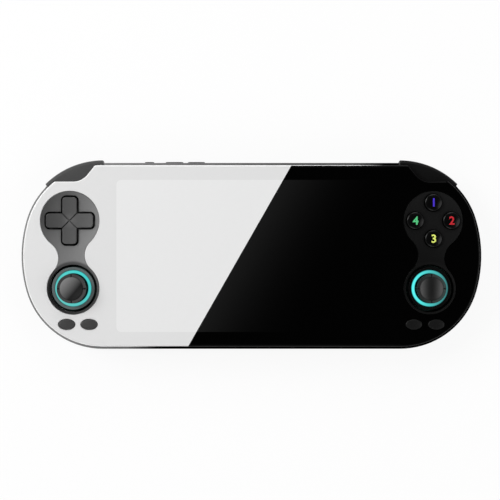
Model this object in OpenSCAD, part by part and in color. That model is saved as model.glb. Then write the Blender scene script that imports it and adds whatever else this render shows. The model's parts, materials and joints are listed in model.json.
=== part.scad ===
/* [Case] */
// Overall width of the case
body_w = 188; // [184:1:196]
// Overall height of the case without the bumpers
body_h = 76; // [75:0.5:79]
// Radius of the four rounded corners
corner_r = 32.4; // [31.5:0.1:33]
// Radius of the two bowed ends
end_r = 52.4; // [50:0.2:56]
// Height of the rear cover from its flat back to the parting line
rear_h = 4.9; // [4.6:0.1:5.6]
// Height of the mid frame
frame_h = 5.5; // [5.4:0.1:6.5]
// Thickness of the front cover
front_h = 3; // [2.8:0.1:3.6]
// Side wall of the mid frame and the rear cover
wall = 1.8; // [1.5:0.1:2.2]
// Floor of the rear cover
rear_floor = 1.6; // [1.4:0.1:2]
// Step from the mid frame in to the front cover
front_inset = 1.1; // [0.8:0.1:1.5]
// Rounding of the front cover's edge
front_edge_r = 0.8; // [0.4:0.1:1]
// Height of the palm swells on the back
grip_h = 3.6; // [2.5:0.1:4]
// Half width of the flat on a palm swell
grip_flat = 4.5; // [3:0.5:6]
// Width of the rounded flank beside that flat
grip_flank = 5; // [4:0.25:5.5]

/* [Display] */
// Distance of the lens from the ends of the case
lens_from_end = 33; // [32.5:0.1:34]
// Border of the case above and below the lens
lens_border = 2.2; // [2.1:0.1:3]
// Thickness of the lens
lens_t = 1.2; // [0.8:0.1:1.4]
// Corner radius of the lens
lens_r = 2.4; // [1:0.2:4]
// Border of the lens left and right of the display panel
display_side = 4.5; // [4.3:0.1:6]
// Border of the lens above and below the display panel
display_border = 2.6; // [2.4:0.1:3.4]
// Thickness of the display panel
display_t = 1.6; // [1.2:0.1:1.6]

/* [Controls] */
// Distance of the D-pad and the face buttons from the ends of the case
pad_from_end = 20.1; // [19.8:0.1:20.6]
// Distance of the D-pad and the face buttons from the top edge
pad_from_top = 23.65; // [23.4:0.05:24]
// Radius of the control plate round the D-pad
pad_r = 12; // [11.8:0.1:12.4]
// Distance of the thumbsticks from the ends of the case
stick_from_end = 21.5; // [21.2:0.1:22]
// Height of the thumbsticks over the oval keys, as a share of the case's height
stick_share = 0.1928; // [0.1872:0.0004:0.1956]
// Radius of the control plate round a thumbstick
well_r = 10.6; // [10.5:0.1:11]
// Width of a control plate at its waist
waist_w = 10.6; // [10.2:0.1:11.8]
// Thickness of a control plate
plate_t = 1.6; // [1.4:0.1:1.8]
// Depth of a control plate's face below the front
plate_sunk = 0.25; // [0.1:0.05:0.4]
// Ledge under a control plate
plate_ledge = 1; // [0.7:0.1:1.2]
// Length of the D-pad across two opposite arms
dpad_span = 19; // [18:0.1:19.8]
// Width of a D-pad arm
dpad_arm = 5.7; // [5.6:0.1:6.6]
// Height of the D-pad above the front
dpad_proud = 1.1; // [0.8:0.1:1.5]
// Gap round the D-pad in its plate
dpad_gap = 0.8; // [0.42:0.01:0.9]
// Radius of a face button
button_r = 3.5; // [3.2:0.05:3.6]
// Distance of a face button from the middle of its group
button_reach = 7.35; // [7.2:0.05:7.6]
// Height of a face button above the front
button_proud = 1.2; // [1:0.1:1.6]
// Gap round a face button
button_gap = 0.25; // [0.2:0.05:0.35]
// Length of an oval key
key_l = 6.8; // [6.6:0.1:7.4]
// Width of an oval key
key_w = 4.2; // [4:0.05:4.6]
// Height of an oval key above the front
key_proud = 0.6; // [0.4:0.1:0.8]
// Gap round an oval key
key_gap = 0.15; // [0.15:0.05:0.3]
// Distance of the outer oval keys from the ends of the case
key_outer_from_end = 18.9; // [18.5:0.1:19.2]
// Distance of the inner oval keys from the ends of the case
key_inner_from_end = 28; // [27.8:0.1:28.4]
// Distance of the oval keys from the bottom edge
key_from_bottom = 10.15; // [9.8:0.05:10.4]

/* [Thumbsticks] */
// Radius of a stick cap
cap_r = 5.9; // [5:0.05:6]
// Height of a stick cap's rim above the pivot
cap_rise = 11.2; // [11:0.1:12]
// Thickness of a stick cap at its rim
cap_t = 2; // [1.6:0.1:2.1]
// Outer radius of the light ring
light_r = 7.4; // [7.3:0.05:7.4]
// Inner radius of the light ring
light_bore_r = 6.05; // [6:0.05:6.2]
// Outer radius of the collar round the light ring
collar_r = 8.65; // [8.4:0.05:8.8]
// Radius of the dust dome under the cap
dome_r = 5.7; // [5.5:0.05:5.75]
// Side of the square stick housing
housing_w = 16; // [15.6:0.1:16.6]
// Radius of the stick's pivot pins
trunnion_r = 0.9; // [0.7:0.05:1]

/* [Shoulders] */
// How far a bumper stands out of the case
bumper_rise = 1.2; // [0.8:0.1:1.5]
// Angle at which the shoulder levers start, from the width axis
shoulder_from = 45; // [44.6:0.1:47]
// Angle at which the shoulder levers end
shoulder_to = 90; // [89.5:0.1:91.5]
// Radius of a shoulder hinge pin
pin_r = 0.9; // [0.8:0.05:1]
// Width of the pivot boss round a pin
pin_wall = 0.9; // [0.8:0.05:1]

/* [Edge keys and sockets] */
// How far the top keys stand out of the frame
top_key_proud = 0.5; // [0.4:0.05:0.7]
// Height of the top keys
top_key_h = 2.2; // [1.8:0.1:2.6]
// Radius of the headphone bore
jack_r = 1.8; // [1.75:0.01:1.85]
// Distance of the headphone socket from the main board's side
jack_from_side = 12; // [10:0.5:14]
// Distance of the card socket from the main board's side
card_from_side = 12; // [10:0.5:14]
// Distance of the speakers from the ends of the case
speaker_from_end = 46.5; // [46.5:0.1:47.5]
// Radius of a case screw
screw_r = 0.85; // [0.75:0.05:0.95]

/* [Hidden] */
$fn = 64;
// A cut runs this far past the face it opens
over = 1;
// Longer than anything in the case
far = 300;

// Heights of the parting planes above the surface the console lies on
z_back = grip_h;
z_floor = z_back + rear_floor;
z_rear = z_back + rear_h;
z_frame = z_rear + frame_h;
z_face = z_frame + front_h;

// Outline: straight edges, four corner arcs and two bowed ends, all tangent
corner_y = body_h / 2 - corner_r;
end_offset = sqrt(pow(end_r - corner_r, 2) - pow(corner_y, 2));
end_x = body_w / 2 - end_r;
corner_x = end_x + end_offset;
join_angle = atan2(corner_y, end_offset);

// Palm swells follow the bowed ends and run a little into the back
rear_step = 1.5;
grip_sink = 0.1;
grip_reach = end_r - 21.4;
grip_angle = 34;

// Clearances
fit_gap = 0.1;
run_gap = 0.05;
slide_gap = 0.2;
free_gap = 0.4;

// Lens and display
z_lens = z_face - lens_t;
lens_w = body_w - 2 * lens_from_end;
lens_h = body_h - 2 * lens_border;
display_w = lens_w - 2 * display_side;
display_h = lens_h - 2 * display_border;

// Control boards and what stands on them
board_t = 1.2;
board_drop = 4;
z_board = z_frame - board_drop;
z_board_top = z_board + board_t;
board_margin = 1.2;
board_inset = wall + board_margin;
board_reach = 3.3;
board_edge_x = corner_x - board_reach;
membrane_t = 0.6;
dome_wall = 0.6;
dome_hollow = 1;
sheet_r = 8.2;
flange_t = 0.8;
z_flange = z_frame - fit_gap - flange_t;
key_flange = 0.8;
key_crown = 0.3;
key_dome_r = [1.3, 1.8];
sheet_margin = 0.5;
key_outer_x = body_w / 2 - key_outer_from_end;
key_inner_x = body_w / 2 - key_inner_from_end;
key_drop = body_h / 2 - key_from_bottom;

// Control plates
z_plate = z_face - plate_sunk - plate_t;
z_plate_top = z_face - plate_sunk;
plate_dish = 0.5;
plate_rim = 0.4;
pad = [body_w / 2 - pad_from_end, body_h / 2 - pad_from_top];
stick = [body_w / 2 - stick_from_end, stick_share * body_h - key_drop];
plate_axis = stick - pad;
plate_len = norm(plate_axis);
// A concave flank touches both round ends and leaves the waist its width
waist_half = waist_w / 2;
pad_over = pad_r - waist_half;
well_over = well_r - waist_half;
waist_sum = pad_over * (pow(plate_len, 2) - pow(well_r, 2) + pow(waist_half, 2))
    + well_over * (pow(pad_r, 2) - pow(waist_half, 2));
waist_root = sqrt(pow(pad_over * plate_len, 2) + (well_over - pad_over) * waist_sum);
waist_along = waist_sum / (pad_over * plate_len + waist_root);
waist_r = (pow(waist_along, 2) - pow(pad_r, 2) + pow(waist_half, 2)) / (2 * pad_over);
waist_off = waist_half + waist_r;
plate_dir = plate_axis / plate_len;
plate_side = [-plate_dir.y, plate_dir.x];
waist_a = pad + waist_along * plate_dir + waist_off * plate_side;
waist_b = pad + waist_along * plate_dir - waist_off * plate_side;

// D-pad
dpad_corner = 1.3;
dpad_groove = 0.5;
dpad_flange_r = 9.2;
dpad_press_r = 6.6;
dpad_dish = 0.6;
pivot_h = 1.2;
z_dpad_pivot = z_board_top + pivot_h;
pivot_r = 2.4;
pivot_skirt = 0.5;
pivot_pin_r = 0.8;
pivot_clear = 0.8;
dpad_dome_r = [1.8, 2.4];

// Face buttons
button_flange_r = 4.2;
button_dome = 0.5;
button_dome_r = [2, 2.8];

// Thumbstick module
pivot_rise = 5.8;
z_pivot = z_floor + pivot_rise;
housing_top = 1.8;
z_housing = z_pivot + housing_top;
housing_wall = 1.7;
housing_deep = 3.1;
housing_floor = z_pivot - housing_deep;
yoke_half = 4;
yoke_h = 3;
yoke_window = [6, 5];
trunnion_short = 0.7;
stem_r = 2.2;
stem_foot = 1.4;
stem_pin_r = 1.5;
stem_pin_h = 1;
cap_seat = 0.3;
cap_hub = [0.6, 0.4];
cap_dish = 0.7;
cap_rim = 1.15;
cap_notch = [2, 0.6, 0.3];
dome_t = 0.8;
dome_angle = 45;
light_board_t = 0.8;
z_light = z_housing + light_board_t;
z_collar_top = z_plate_top + fit_gap;
ring_drop = [0.3, 0.9];
light_board_edge = 0.75;
light_board_r = collar_r + light_board_edge;
light_board_bore = 0.8;
well_groove = 1;
well_hole_r = collar_r + well_groove;

// Shoulder levers
shoulder_r = corner_r + bumper_rise;
pocket_depth = 6;
pocket_r = corner_r - pocket_depth;
pocket_wall = 0.9;
lever_free = 1.2;
lever_in_r = pocket_r + lever_free;
lever_wall = 3.4;
lever_step = 0.35;
z_lever_split = z_rear + lever_step;
lever_split = 0.5;
bumper_z = z_lever_split + lever_split;
lever_flange = 1.4;
z_bumper_top = z_frame - free_gap;
z_bumper_flange = z_bumper_top - lever_flange;
flange_clear = 0.3;
z_pocket_top = z_bumper_flange - flange_clear;
boss_r = pin_r + pin_wall;
pin_back = 2.6;
pin_at = [corner_x - pin_back, body_h / 2 - wall - free_gap - boss_r];
pin_angle = heading([corner_x, corner_y], pin_at);
pin_socket = 1.3;
arm_free = 0.6;
arm_r = corner_r - wall - arm_free;
lever_round = 1.5;
trigger_recess = 0.3;
trigger_lag_angle = 1.5;
trigger_from = shoulder_from + trigger_lag_angle;
bumper_lead_angle = 1.1;
trigger_lead_angle = 1.3;
window_lag_angle = 0.8;
window_end = shoulder_to + window_lag_angle;
bumper_window = [shoulder_from - bumper_lead_angle, window_end];
trigger_window = [trigger_from - trigger_lead_angle, window_end];
boss_angle = 5;
pocket_lap_angle = 8;
pocket_end = pin_angle + pocket_lap_angle;
pocket_side_angle = 2;
notch_rise = 24.6;
notch_out = 11.8;
notch_y = corner_y + notch_rise;
notch_x = corner_x + notch_out;
notch_r = 7.5;
notch_slope = 51;
notch_round = 2;
notch_lap = 0.25;
switch_angle = 62;
switch_plate = [0.6, 6, 6.2];
switch_sink = 0.3;
switch_body = [1.4, 3.5, 2.4];
switch_off = [1.8, 1.2];
plunger_r = 0.8;

// Top keys: distance of each from the corner's centre, and length
top_key_from_corner = [18.95, 29.2, 38.2];
top_key_l = [3.9, 7.3, 7];
top_keys = [for (i = [0:2]) [top_key_from_corner[i] - corner_x, top_key_l[i]]];
top_key_rise = 2.7;
z_top_key = z_rear + top_key_rise;
top_key_flange = 0.7;
top_key_lip = [1.6, 1.2];
top_switch = [3, 0.6, 2];
top_board_ends = [5.3, 6.8];
top_board_x = [top_keys[0].x - top_board_ends[0], top_keys[2].x + top_board_ends[1]];
top_board_t = 0.8;
top_board_back = 2;
top_board_out = body_h / 2 - wall - top_board_back;
top_board_y = [top_board_out - top_board_t, top_board_out];
top_board_h = 4;
top_rib = 1.8;

// Screws
screw_head_r = 1.9;
screw_head_h = 1.4;
screw_post_r = 3;
front_post_r = 2.3;
screw_seat = 2;
z_screw_seat = z_back + screw_seat;
screw_slot = [2.2, 0.5, 0.7];
pilot_depth = 3.6;
screw_back = 1.4;
screw_rise = 20.9;
screw_from_bottom = 5;
screw_from_end = 7;
screw_low = 1;
screw_places = [
    [corner_x - screw_back, corner_y + screw_rise],
    [corner_x - screw_back, screw_from_bottom - body_h / 2],
    [body_w / 2 - screw_from_end, -screw_low]
];

// Main board and the sockets on it
speaker_size = [17, 10.6, 4.6];
speaker_x = body_w / 2 - speaker_from_end;
speaker_clear = 3;
main_w = 2 * (speaker_x - speaker_size.x / 2 - speaker_clear);
main_d = 19.1;
main_edge = 0.6;
main_low = -body_h / 2 + wall + main_edge;
main_y = [main_low, main_low + main_d];
main_t = 1;
z_main = z_rear - fit_gap;
z_main_top = z_main + main_t;
main_post_in = [3, 2.5, 3.4];
main_posts = [
    [main_w / 2 - main_post_in[0], main_y[1] - main_post_in[1]],
    [main_w / 2 - main_post_in[0], main_y[0] + main_post_in[2]]
];
main_post_r = 2;
board_screw_r = 0.75;
board_head_h = 0.8;
usb_size = [8.94, 3.26];
usb_wall = 0.3;
usb_depth = 7.3;
usb_end = 0.8;
usb_tongue = [6.7, 0.7];
z_usb = z_main_top + usb_size.y / 2;
jack_body = [6.4, 11.5, 5];
jack_nose_r = 2.6;
jack_x = main_w / 2 - jack_from_side;
jack_rise = 2.2;
z_jack = z_main + jack_rise;
jack_end = 1.7;
jack_foot = [1.8, 4, 0.8];
jack_foot_in = 2;
card_size = [13, 14, 1.6];
card_x = main_w / 2 - card_from_side;
card_slot = [12.4, 1.8];
card_wall = [0.9, 1, 0.35];
z_card = z_main_top + card_size.z / 2;
shield_clear = [2.8, 11.5];
shield_x = [shield_clear[1] + card_size.x / 2 - card_x, jack_x - jack_body.x / 2 - shield_clear[0]];
shield_in = 6.9;
shield_d = 11.5;
shield_h = 1.6;
shield_size = [shield_x[1] - shield_x[0], shield_d, shield_h];
shield_wall = 0.3;
battery_clear = [12.8, 2.5, 1.4];
battery_y = [main_y[1] + battery_clear[1], top_board_y[0] - battery_clear[2]];
battery_t = 5;
battery_size = [2 * (corner_x - battery_clear[0]), battery_y[1] - battery_y[0], battery_t];
battery_r = 1.5;
speaker_in = 2.3;
speaker_at = [speaker_x, main_y[0] + speaker_in + speaker_size.y / 2];
speaker_r = 2;
cone_rim = 1.5;
cone_depth = 0.5;
grille_pitch = 3;
grille_slot = [2.4, 1.4];
grille_rise = 1.6;
z_grille = z_rear + grille_rise;
vent_count = 7;
vent_pitch = 5;
vent_slot = [10, 2];
vent_in = 11.6;
vent_y = main_y[0] + vent_in;

function heading(from, to) = atan2(to.y - from.y, to.x - from.x);

// Points along an arc about every five degrees
function arc(middle, r, from, to) =
    let (steps = ceil(abs(to - from) / 5), turn = (to - from) / steps)
    [for (i = [0:steps - 1]) middle + r * [cos(from + i * turn), sin(from + i * turn)]];

// Flat outline of the case, drawn in by a distance
module outline(inset = 0) {
    square([2 * corner_x, body_h - 2 * inset], center = true);
    for (sx = [-1, 1], sy = [-1, 1])
        translate([sx * corner_x, sy * corner_y]) circle(corner_r - inset, $fn = 96);
    for (sx = [-1, 1]) translate([sx * end_x, 0]) intersection() {
        circle(end_r - inset, $fn = 128);
        polygon([[0, 0], for (sy = [1, -1]) far * [sx, sy * corner_y / end_offset]]);
    }
}

module slab(inset, z0, z1) {
    translate([0, 0, z0]) linear_extrude(z1 - z0) outline(inset);
}

module clip_axis() {
    intersection() {
        children();
        translate([0, -far]) square(2 * far);
    }
}

// Solid with a section turned round the outline: x is the distance out from it, y the height
module swept() {
    for (sx = [0, 1]) mirror([sx, 0, 0]) {
        for (sy = [0, 1]) mirror([0, sy, 0])
            translate([corner_x, corner_y, 0])
                rotate_extrude($fn = 96) clip_axis() translate([corner_r, 0]) children();
        translate([end_x, 0, 0])
            rotate_extrude(angle = 2 * join_angle, start = -join_angle, $fn = 128)
                clip_axis() translate([end_r, 0]) children();
    }
    for (sy = [0, 1]) mirror([0, sy, 0])
        translate([-corner_x, 0, 0]) rotate([90, 0, 90])
            linear_extrude(2 * corner_x) clip_axis() translate([body_h / 2, 0]) children();
}

// What is drawn for the right is repeated for the left
module both_sides() {
    for (s = [0, 1]) mirror([s, 0, 0]) children();
}

// What is drawn for the right, put on the left
module on_left() {
    mirror([1, 0, 0]) children();
}

// Everything is drawn about the middle of the case, then set over the middle of its full box
module placed() {
    translate([0, -bumper_rise / 2, 0]) children();
}

module rounded_rect(w, h, r) {
    square([w - 2 * r, h], center = true);
    square([w, h - 2 * r], center = true);
    for (sx = [-1, 1], sy = [-1, 1]) translate([sx * (w / 2 - r), sy * (h / 2 - r)]) circle(r);
}

module stadium(w, h) {
    square([w - h, h], center = true);
    for (s = [-1, 1]) translate([s * (w - h) / 2, 0]) circle(h / 2);
}

module oval(grow = 0) {
    polygon([for (a = [0:10:350]) [(key_l / 2 + grow) * cos(a), (key_w / 2 + grow) * sin(a)]]);
}

module cross(grow = 0) {
    for (turn = [0, 90]) rotate(turn)
        rounded_rect(dpad_span + 2 * grow, dpad_arm + 2 * grow, dpad_corner + grow);
}

// Figure-eight outline of a control plate: two round ends joined by concave flanks
module figure_eight(grow = 0) {
    a_pad = heading(pad, waist_a);
    b_pad = heading(pad, waist_b) + 360;
    a_stick = heading(stick, waist_a) + 360;
    b_stick = heading(stick, waist_b);
    polygon(concat(
        arc(pad, pad_r + grow, a_pad, b_pad),
        arc(waist_b, waist_r - grow, b_pad - 180, b_stick - 180),
        arc(stick, well_r + grow, b_stick, a_stick),
        arc(waist_a, waist_r - grow, a_stick - 180, a_pad + 180)
    ));
}

// Sector of a ring about the corner's centre
module corner_sector(from, to) {
    translate([corner_x, corner_y, 0])
        rotate_extrude(angle = to - from, start = from, $fn = 96) children();
}

// Opening for the shoulder levers through the side of the case
module shoulder_window(angles, z0, z1) {
    corner_sector(angles[0], angles[1])
        translate([pocket_r, z0]) square([far / 4, z1 - z0]);
}

// Wall that closes the case behind the shoulder levers
module pocket_walls(from, z0, z1) {
    inner_r = pocket_r - pocket_wall;
    corner_sector(from - pocket_side_angle, pocket_end)
        translate([inner_r, z0]) square([pocket_wall, z1 - z0]);
    for (a = [from - pocket_side_angle, pocket_end - pocket_side_angle])
        corner_sector(a, a + pocket_side_angle)
            translate([inner_r, z0]) square([corner_r - wall / 2 - inner_r, z1 - z0]);
}

// Cut-out of the front cover that shows the bumper
module shoulder_notch() {
    top_y = body_h / 2 - front_inset + notch_lap;
    bend = [for (t = [270:-3:270 - notch_slope])
        [notch_x + notch_r * cos(t), notch_y + notch_r * (1 + sin(t))]];
    low = bend[len(bend) - 1];
    round_y = top_y - notch_round;
    rise = (round_y + notch_round * cos(notch_slope) - low.y) / sin(notch_slope);
    round_x = low.x - rise * cos(notch_slope) - notch_round * sin(notch_slope);
    shoulder = [for (t = [90 - notch_slope:3:90])
        [round_x + notch_round * cos(t), round_y + notch_round * sin(t)]];
    polygon(concat([[far, notch_y]], bend, shoulder, [[round_x, far], [far, far]]));
}

module front_section() {
    edge = front_inset + front_edge_r;
    translate([-far, z_frame]) square([far - edge, front_h]);
    translate([-far, z_frame]) square([far - front_inset, front_h - front_edge_r]);
    translate([-edge, z_face - front_edge_r]) circle(front_edge_r);
}

module front_shell() {
    color("gainsboro") difference() {
        union() {
            swept() front_section();
            both_sides() for (p = screw_places)
                translate([p.x, p.y, z_board_top])
                    cylinder(r = front_post_r, h = z_frame - z_board_top + over);
        }
        translate([0, 0, z_lens]) linear_extrude(far)
            rounded_rect(lens_w + 2 * fit_gap, lens_h + 2 * fit_gap, lens_r + fit_gap);
        translate([0, 0, z_frame - over]) linear_extrude(far)
            square([display_w + 2 * slide_gap, display_h + 2 * slide_gap], center = true);
        both_sides() {
            translate([0, 0, z_plate]) linear_extrude(far) figure_eight(fit_gap);
            translate([0, 0, z_frame - over]) linear_extrude(far) figure_eight(-plate_ledge);
            translate([stick.x, stick.y, z_frame - over]) cylinder(r = well_hole_r, h = far);
            for (x = [key_outer_x, key_inner_x])
                translate([x, -key_drop, z_frame - over]) linear_extrude(far) oval(key_gap);
            translate([0, 0, z_frame - over]) linear_extrude(far) shoulder_notch();
            for (p = screw_places)
                translate([p.x, p.y, z_board_top - over])
                    cylinder(r = screw_r + run_gap, h = pilot_depth + over);
            translate([pin_at.x, pin_at.y, z_frame - over])
                cylinder(r = pin_r + run_gap, h = pin_socket + over);
        }
    }
}

module front_lens() {
    color("black") translate([0, 0, z_lens]) linear_extrude(lens_t) rounded_rect(lens_w, lens_h, lens_r);
}

module display_panel() {
    color("dimgray") translate([0, 0, z_lens - display_t])
        linear_extrude(display_t) square([display_w, display_h], center = true);
}

module jack_hole() {
    translate([jack_x, -body_h / 2 - over, z_jack]) rotate([-90, 0, 0])
        cylinder(r = jack_nose_r + slide_gap, h = wall + 2 * over);
}

module mid_frame() {
    color("dimgray") difference() {
        union() {
            difference() {
                slab(0, z_rear, z_frame);
                slab(wall, z_rear - over, z_frame + over);
            }
            both_sides() pocket_walls(bumper_window[0], z_rear, z_pocket_top);
            for (x = [top_board_x[0], top_board_x[1] - top_rib])
                translate([x, top_board_y[1], z_top_key - top_board_h / 2])
                    cube([top_rib, body_h / 2 - wall / 2 - top_board_y[1], top_board_h]);
        }
        both_sides() shoulder_window(bumper_window, z_rear - over, z_frame + over);
        for (k = top_keys)
            translate([k.x, body_h / 2 - wall - over, z_top_key]) rotate([-90, 0, 0])
                linear_extrude(wall + 2 * over) stadium(k.y + 2 * fit_gap, top_key_h + 2 * fit_gap);
        translate([0, -body_h / 2 - over, z_usb]) rotate([-90, 0, 0])
            linear_extrude(wall + 2 * over)
                stadium(usb_size.x + 2 * slide_gap, usb_size.y + 2 * slide_gap);
        jack_hole();
        translate([-card_x, -body_h / 2 - over, z_card]) rotate([-90, 0, 0])
            linear_extrude(wall + 2 * over) stadium(card_slot.x, card_slot.y);
        both_sides() for (i = [-2:2])
            translate([speaker_at.x + i * grille_pitch, -body_h / 2 - over, z_grille]) rotate([-90, 0, 0])
                linear_extrude(wall + 2 * over) rotate(90) stadium(grille_slot.x, grille_slot.y);
    }
}

module rear_section() {
    translate([-far, z_back]) square([far - rear_h, rear_h]);
    intersection() {
        translate([-rear_h, z_rear]) circle(rear_h);
        translate([-far, 0]) square([far, z_rear]);
    }
}

// Half section of a palm swell, from its centre line out: a flat, then a round flank
module grip_section() {
    flank_r = (pow(grip_flank, 2) + pow(grip_h, 2)) / (2 * grip_h);
    step = asin(grip_flank / flank_r) / 4;
    polygon(concat(
        [[0, 0]],
        [for (i = [0:4]) [grip_flat + flank_r * sin(i * step), flank_r * (1 - cos(i * step))]],
        [[grip_flat + grip_flank, grip_h + grip_sink], [0, grip_h + grip_sink]]
    ));
}

module palm_swell() {
    translate([end_x, 0, 0]) hull() for (turn = [-grip_angle:grip_angle / 4:grip_angle])
        rotate(turn) translate([grip_reach, 0, 0]) rotate_extrude($fn = 32) grip_section();
}

module rear_shell() {
    color("gray") difference() {
        union() {
            difference() {
                swept() rear_section();
                slab(wall, z_rear - rear_step, z_rear + over);
                slab(rear_h - over, z_floor, z_rear + over);
            }
            both_sides() {
                palm_swell();
                for (p = screw_places)
                    translate([p.x, p.y, z_floor - over])
                        cylinder(r = screw_post_r, h = z_board - z_floor + over);
                for (p = main_posts)
                    translate([p.x, p.y, z_floor - over])
                        cylinder(r = main_post_r, h = z_main - z_floor + over);
                translate([pin_at.x, pin_at.y, z_floor - over]) cylinder(r = boss_r, h = over + flange_t);
                pocket_walls(trigger_window[0], z_floor - over / 2, z_rear);
            }
        }
        both_sides() {
            shoulder_window(trigger_window, -over, z_rear + over);
            for (p = screw_places) translate([p.x, p.y, -over]) {
                cylinder(r = screw_head_r + slide_gap, h = z_screw_seat + over);
                cylinder(r = screw_r + slide_gap, h = far);
            }
            for (p = main_posts)
                translate([p.x, p.y, z_floor]) cylinder(r = board_screw_r + run_gap, h = far);
            translate([pin_at.x, pin_at.y, z_floor - rear_floor / 2])
                cylinder(r = pin_r + run_gap, h = far);
            translate([0, 0, z_floor + flange_t]) {
                translate(pin_at) cylinder(r = boss_r + free_gap, h = far);
                corner_sector(shoulder_to, pin_angle)
                    translate([pocket_r, 0]) square([arm_r + free_gap - pocket_r, far]);
            }
        }
        jack_hole();
        for (i = [0:vent_count - 1])
            translate([(i - (vent_count - 1) / 2) * vent_pitch, vent_y, z_back - over])
                linear_extrude(rear_floor + 2 * over) rotate(90) stadium(vent_slot.x, vent_slot.y);
    }
}

module case_screws() {
    color("silver") both_sides() for (p = screw_places) translate([p.x, p.y, 0]) difference() {
        union() {
            translate([0, 0, z_screw_seat - screw_head_h]) cylinder(r = screw_head_r, h = screw_head_h);
            translate([0, 0, z_screw_seat]) cylinder(r = screw_r, h = z_frame + free_gap - z_screw_seat);
        }
        translate([0, 0, z_screw_seat - screw_head_h - over]) for (turn = [0, 90]) rotate(turn)
            translate([-screw_slot.x / 2, -screw_slot.y / 2, 0]) cube(screw_slot + [0, 0, over]);
    }
}

// Plate with a dished pad; children are the holes cut round the middle of the pad
module control_plate() {
    dish_edge = pad_r - plate_rim;
    dish_r = (pow(dish_edge, 2) + pow(plate_dish, 2)) / (2 * plate_dish);
    difference() {
        translate([0, 0, z_plate]) linear_extrude(plate_t) figure_eight();
        translate([stick.x, stick.y, z_plate - over]) cylinder(r = well_hole_r, h = far);
        translate([pad.x, pad.y, z_plate_top - plate_dish + dish_r]) sphere(dish_r, $fn = 300);
        translate([pad.x, pad.y, z_plate - over]) linear_extrude(far) children();
    }
}

module left_control_plate() {
    color("dimgray") on_left() control_plate() cross(dpad_gap);
}

module right_control_plate() {
    color("black") control_plate()
        for (turn = [0:90:270]) rotate(turn) translate([button_reach, 0]) circle(button_r + button_gap);
}

module dpad() {
    top = z_face + dpad_proud;
    dish_r = (pow(dpad_span / 2, 2) + pow(dpad_dish, 2)) / (2 * dpad_dish);
    color("dimgray") translate([-pad.x, pad.y, 0]) difference() {
        union() {
            translate([0, 0, z_flange]) cylinder(r = dpad_flange_r, h = flange_t);
            translate([0, 0, z_flange]) linear_extrude(top - z_flange) cross();
        }
        translate([0, 0, top - dpad_dish + dish_r]) sphere(dish_r, $fn = 300);
        for (turn = [45, 135]) rotate(turn)
            translate([-dpad_span / 2, -dpad_groove / 2, top - dpad_dish - dpad_groove])
                cube([dpad_span, dpad_groove, far]);
    }
}

module dpad_pivot() {
    color("silver") translate([-pad.x, pad.y, 0]) {
        translate([0, 0, z_dpad_pivot - pivot_skirt])
            cylinder(r = pivot_r, h = z_flange - slide_gap - z_dpad_pivot + pivot_skirt);
        translate([0, 0, z_board_top + fit_gap]) cylinder(r = pivot_pin_r, h = pivot_h - slide_gap);
    }
}

// Rubber sheet with a dome under each press point
module membrane(places, radii) {
    hollow_r = radii[0] - dome_wall;
    translate([0, 0, z_board_top]) {
        difference() {
            linear_extrude(membrane_t) children();
            for (p = places) translate([p.x, p.y, -over]) cylinder(r = hollow_r, h = membrane_t);
        }
        for (p = places) translate([p.x, p.y, 0]) difference() {
            cylinder(r1 = radii[1], r2 = radii[0], h = z_flange - z_board_top);
            translate([0, 0, -over]) cylinder(r = hollow_r, h = dome_hollow + over);
        }
    }
}

module dpad_membrane() {
    places = [for (a = [0:90:270]) dpad_press_r * [cos(a), sin(a)]];
    color("white") translate([-pad.x, pad.y, 0]) membrane(places, dpad_dome_r) difference() {
        circle(sheet_r);
        circle(pivot_r + pivot_clear);
    }
}

module face_button_membrane() {
    places = [for (a = [0:90:270]) button_reach * [cos(a), sin(a)]];
    color("white") translate([pad.x, pad.y, 0]) membrane(places, button_dome_r) circle(sheet_r);
}

module face_button(turn) {
    top = z_face + button_proud;
    dome_r = (pow(button_r, 2) + pow(button_dome, 2)) / (2 * button_dome);
    at = pad + button_reach * [cos(turn), sin(turn)];
    color("black") translate([at.x, at.y, 0]) {
        intersection() {
            translate([0, 0, z_flange]) cylinder(r = button_r, h = top - z_flange);
            translate([0, 0, top - dome_r]) sphere(dome_r, $fn = 96);
        }
        translate([0, 0, z_flange]) cylinder(r = button_flange_r, h = flange_t);
    }
}

module oval_key(x) {
    top = z_face + key_proud;
    crown_r = (pow(key_l / 2, 2) + pow(key_crown, 2)) / (2 * key_crown);
    translate([x, -key_drop, 0]) {
        intersection() {
            translate([0, 0, z_flange]) linear_extrude(top - z_flange) oval();
            translate([0, 0, top - crown_r]) sphere(crown_r, $fn = 96);
        }
        translate([0, 0, z_flange]) linear_extrude(flange_t) oval(key_flange);
    }
}

module key_membrane() {
    middle = (key_outer_x + key_inner_x) / 2;
    places = [for (x = [key_outer_x, key_inner_x]) [x, -key_drop]];
    membrane(places, key_dome_r) translate([middle, -key_drop])
        stadium(key_outer_x - key_inner_x + key_l, key_w + 2 * sheet_margin);
}

module stick_housing() {
    inner = housing_w - 2 * housing_wall;
    translate([stick.x, stick.y, 0]) difference() {
        translate([-housing_w / 2, -housing_w / 2, z_floor])
            cube([housing_w, housing_w, z_housing - z_floor]);
        translate([-inner / 2, -inner / 2, housing_floor]) cube([inner, inner, far]);
        translate([0, 0, z_pivot]) rotate([0, 90, 0])
            cylinder(r = trunnion_r + run_gap, h = housing_w + over, center = true);
    }
}

module stick_yoke() {
    translate([stick.x, stick.y, z_pivot]) difference() {
        union() {
            cube([2 * yoke_half, 2 * yoke_half, yoke_h], center = true);
            rotate([0, 90, 0]) cylinder(r = trunnion_r, h = housing_w - 2 * trunnion_short, center = true);
        }
        cube([yoke_window.x, yoke_window.y, yoke_h + over], center = true);
        rotate([90, 0, 0]) cylinder(r = trunnion_r + run_gap, h = 2 * yoke_half + over, center = true);
    }
}

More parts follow.
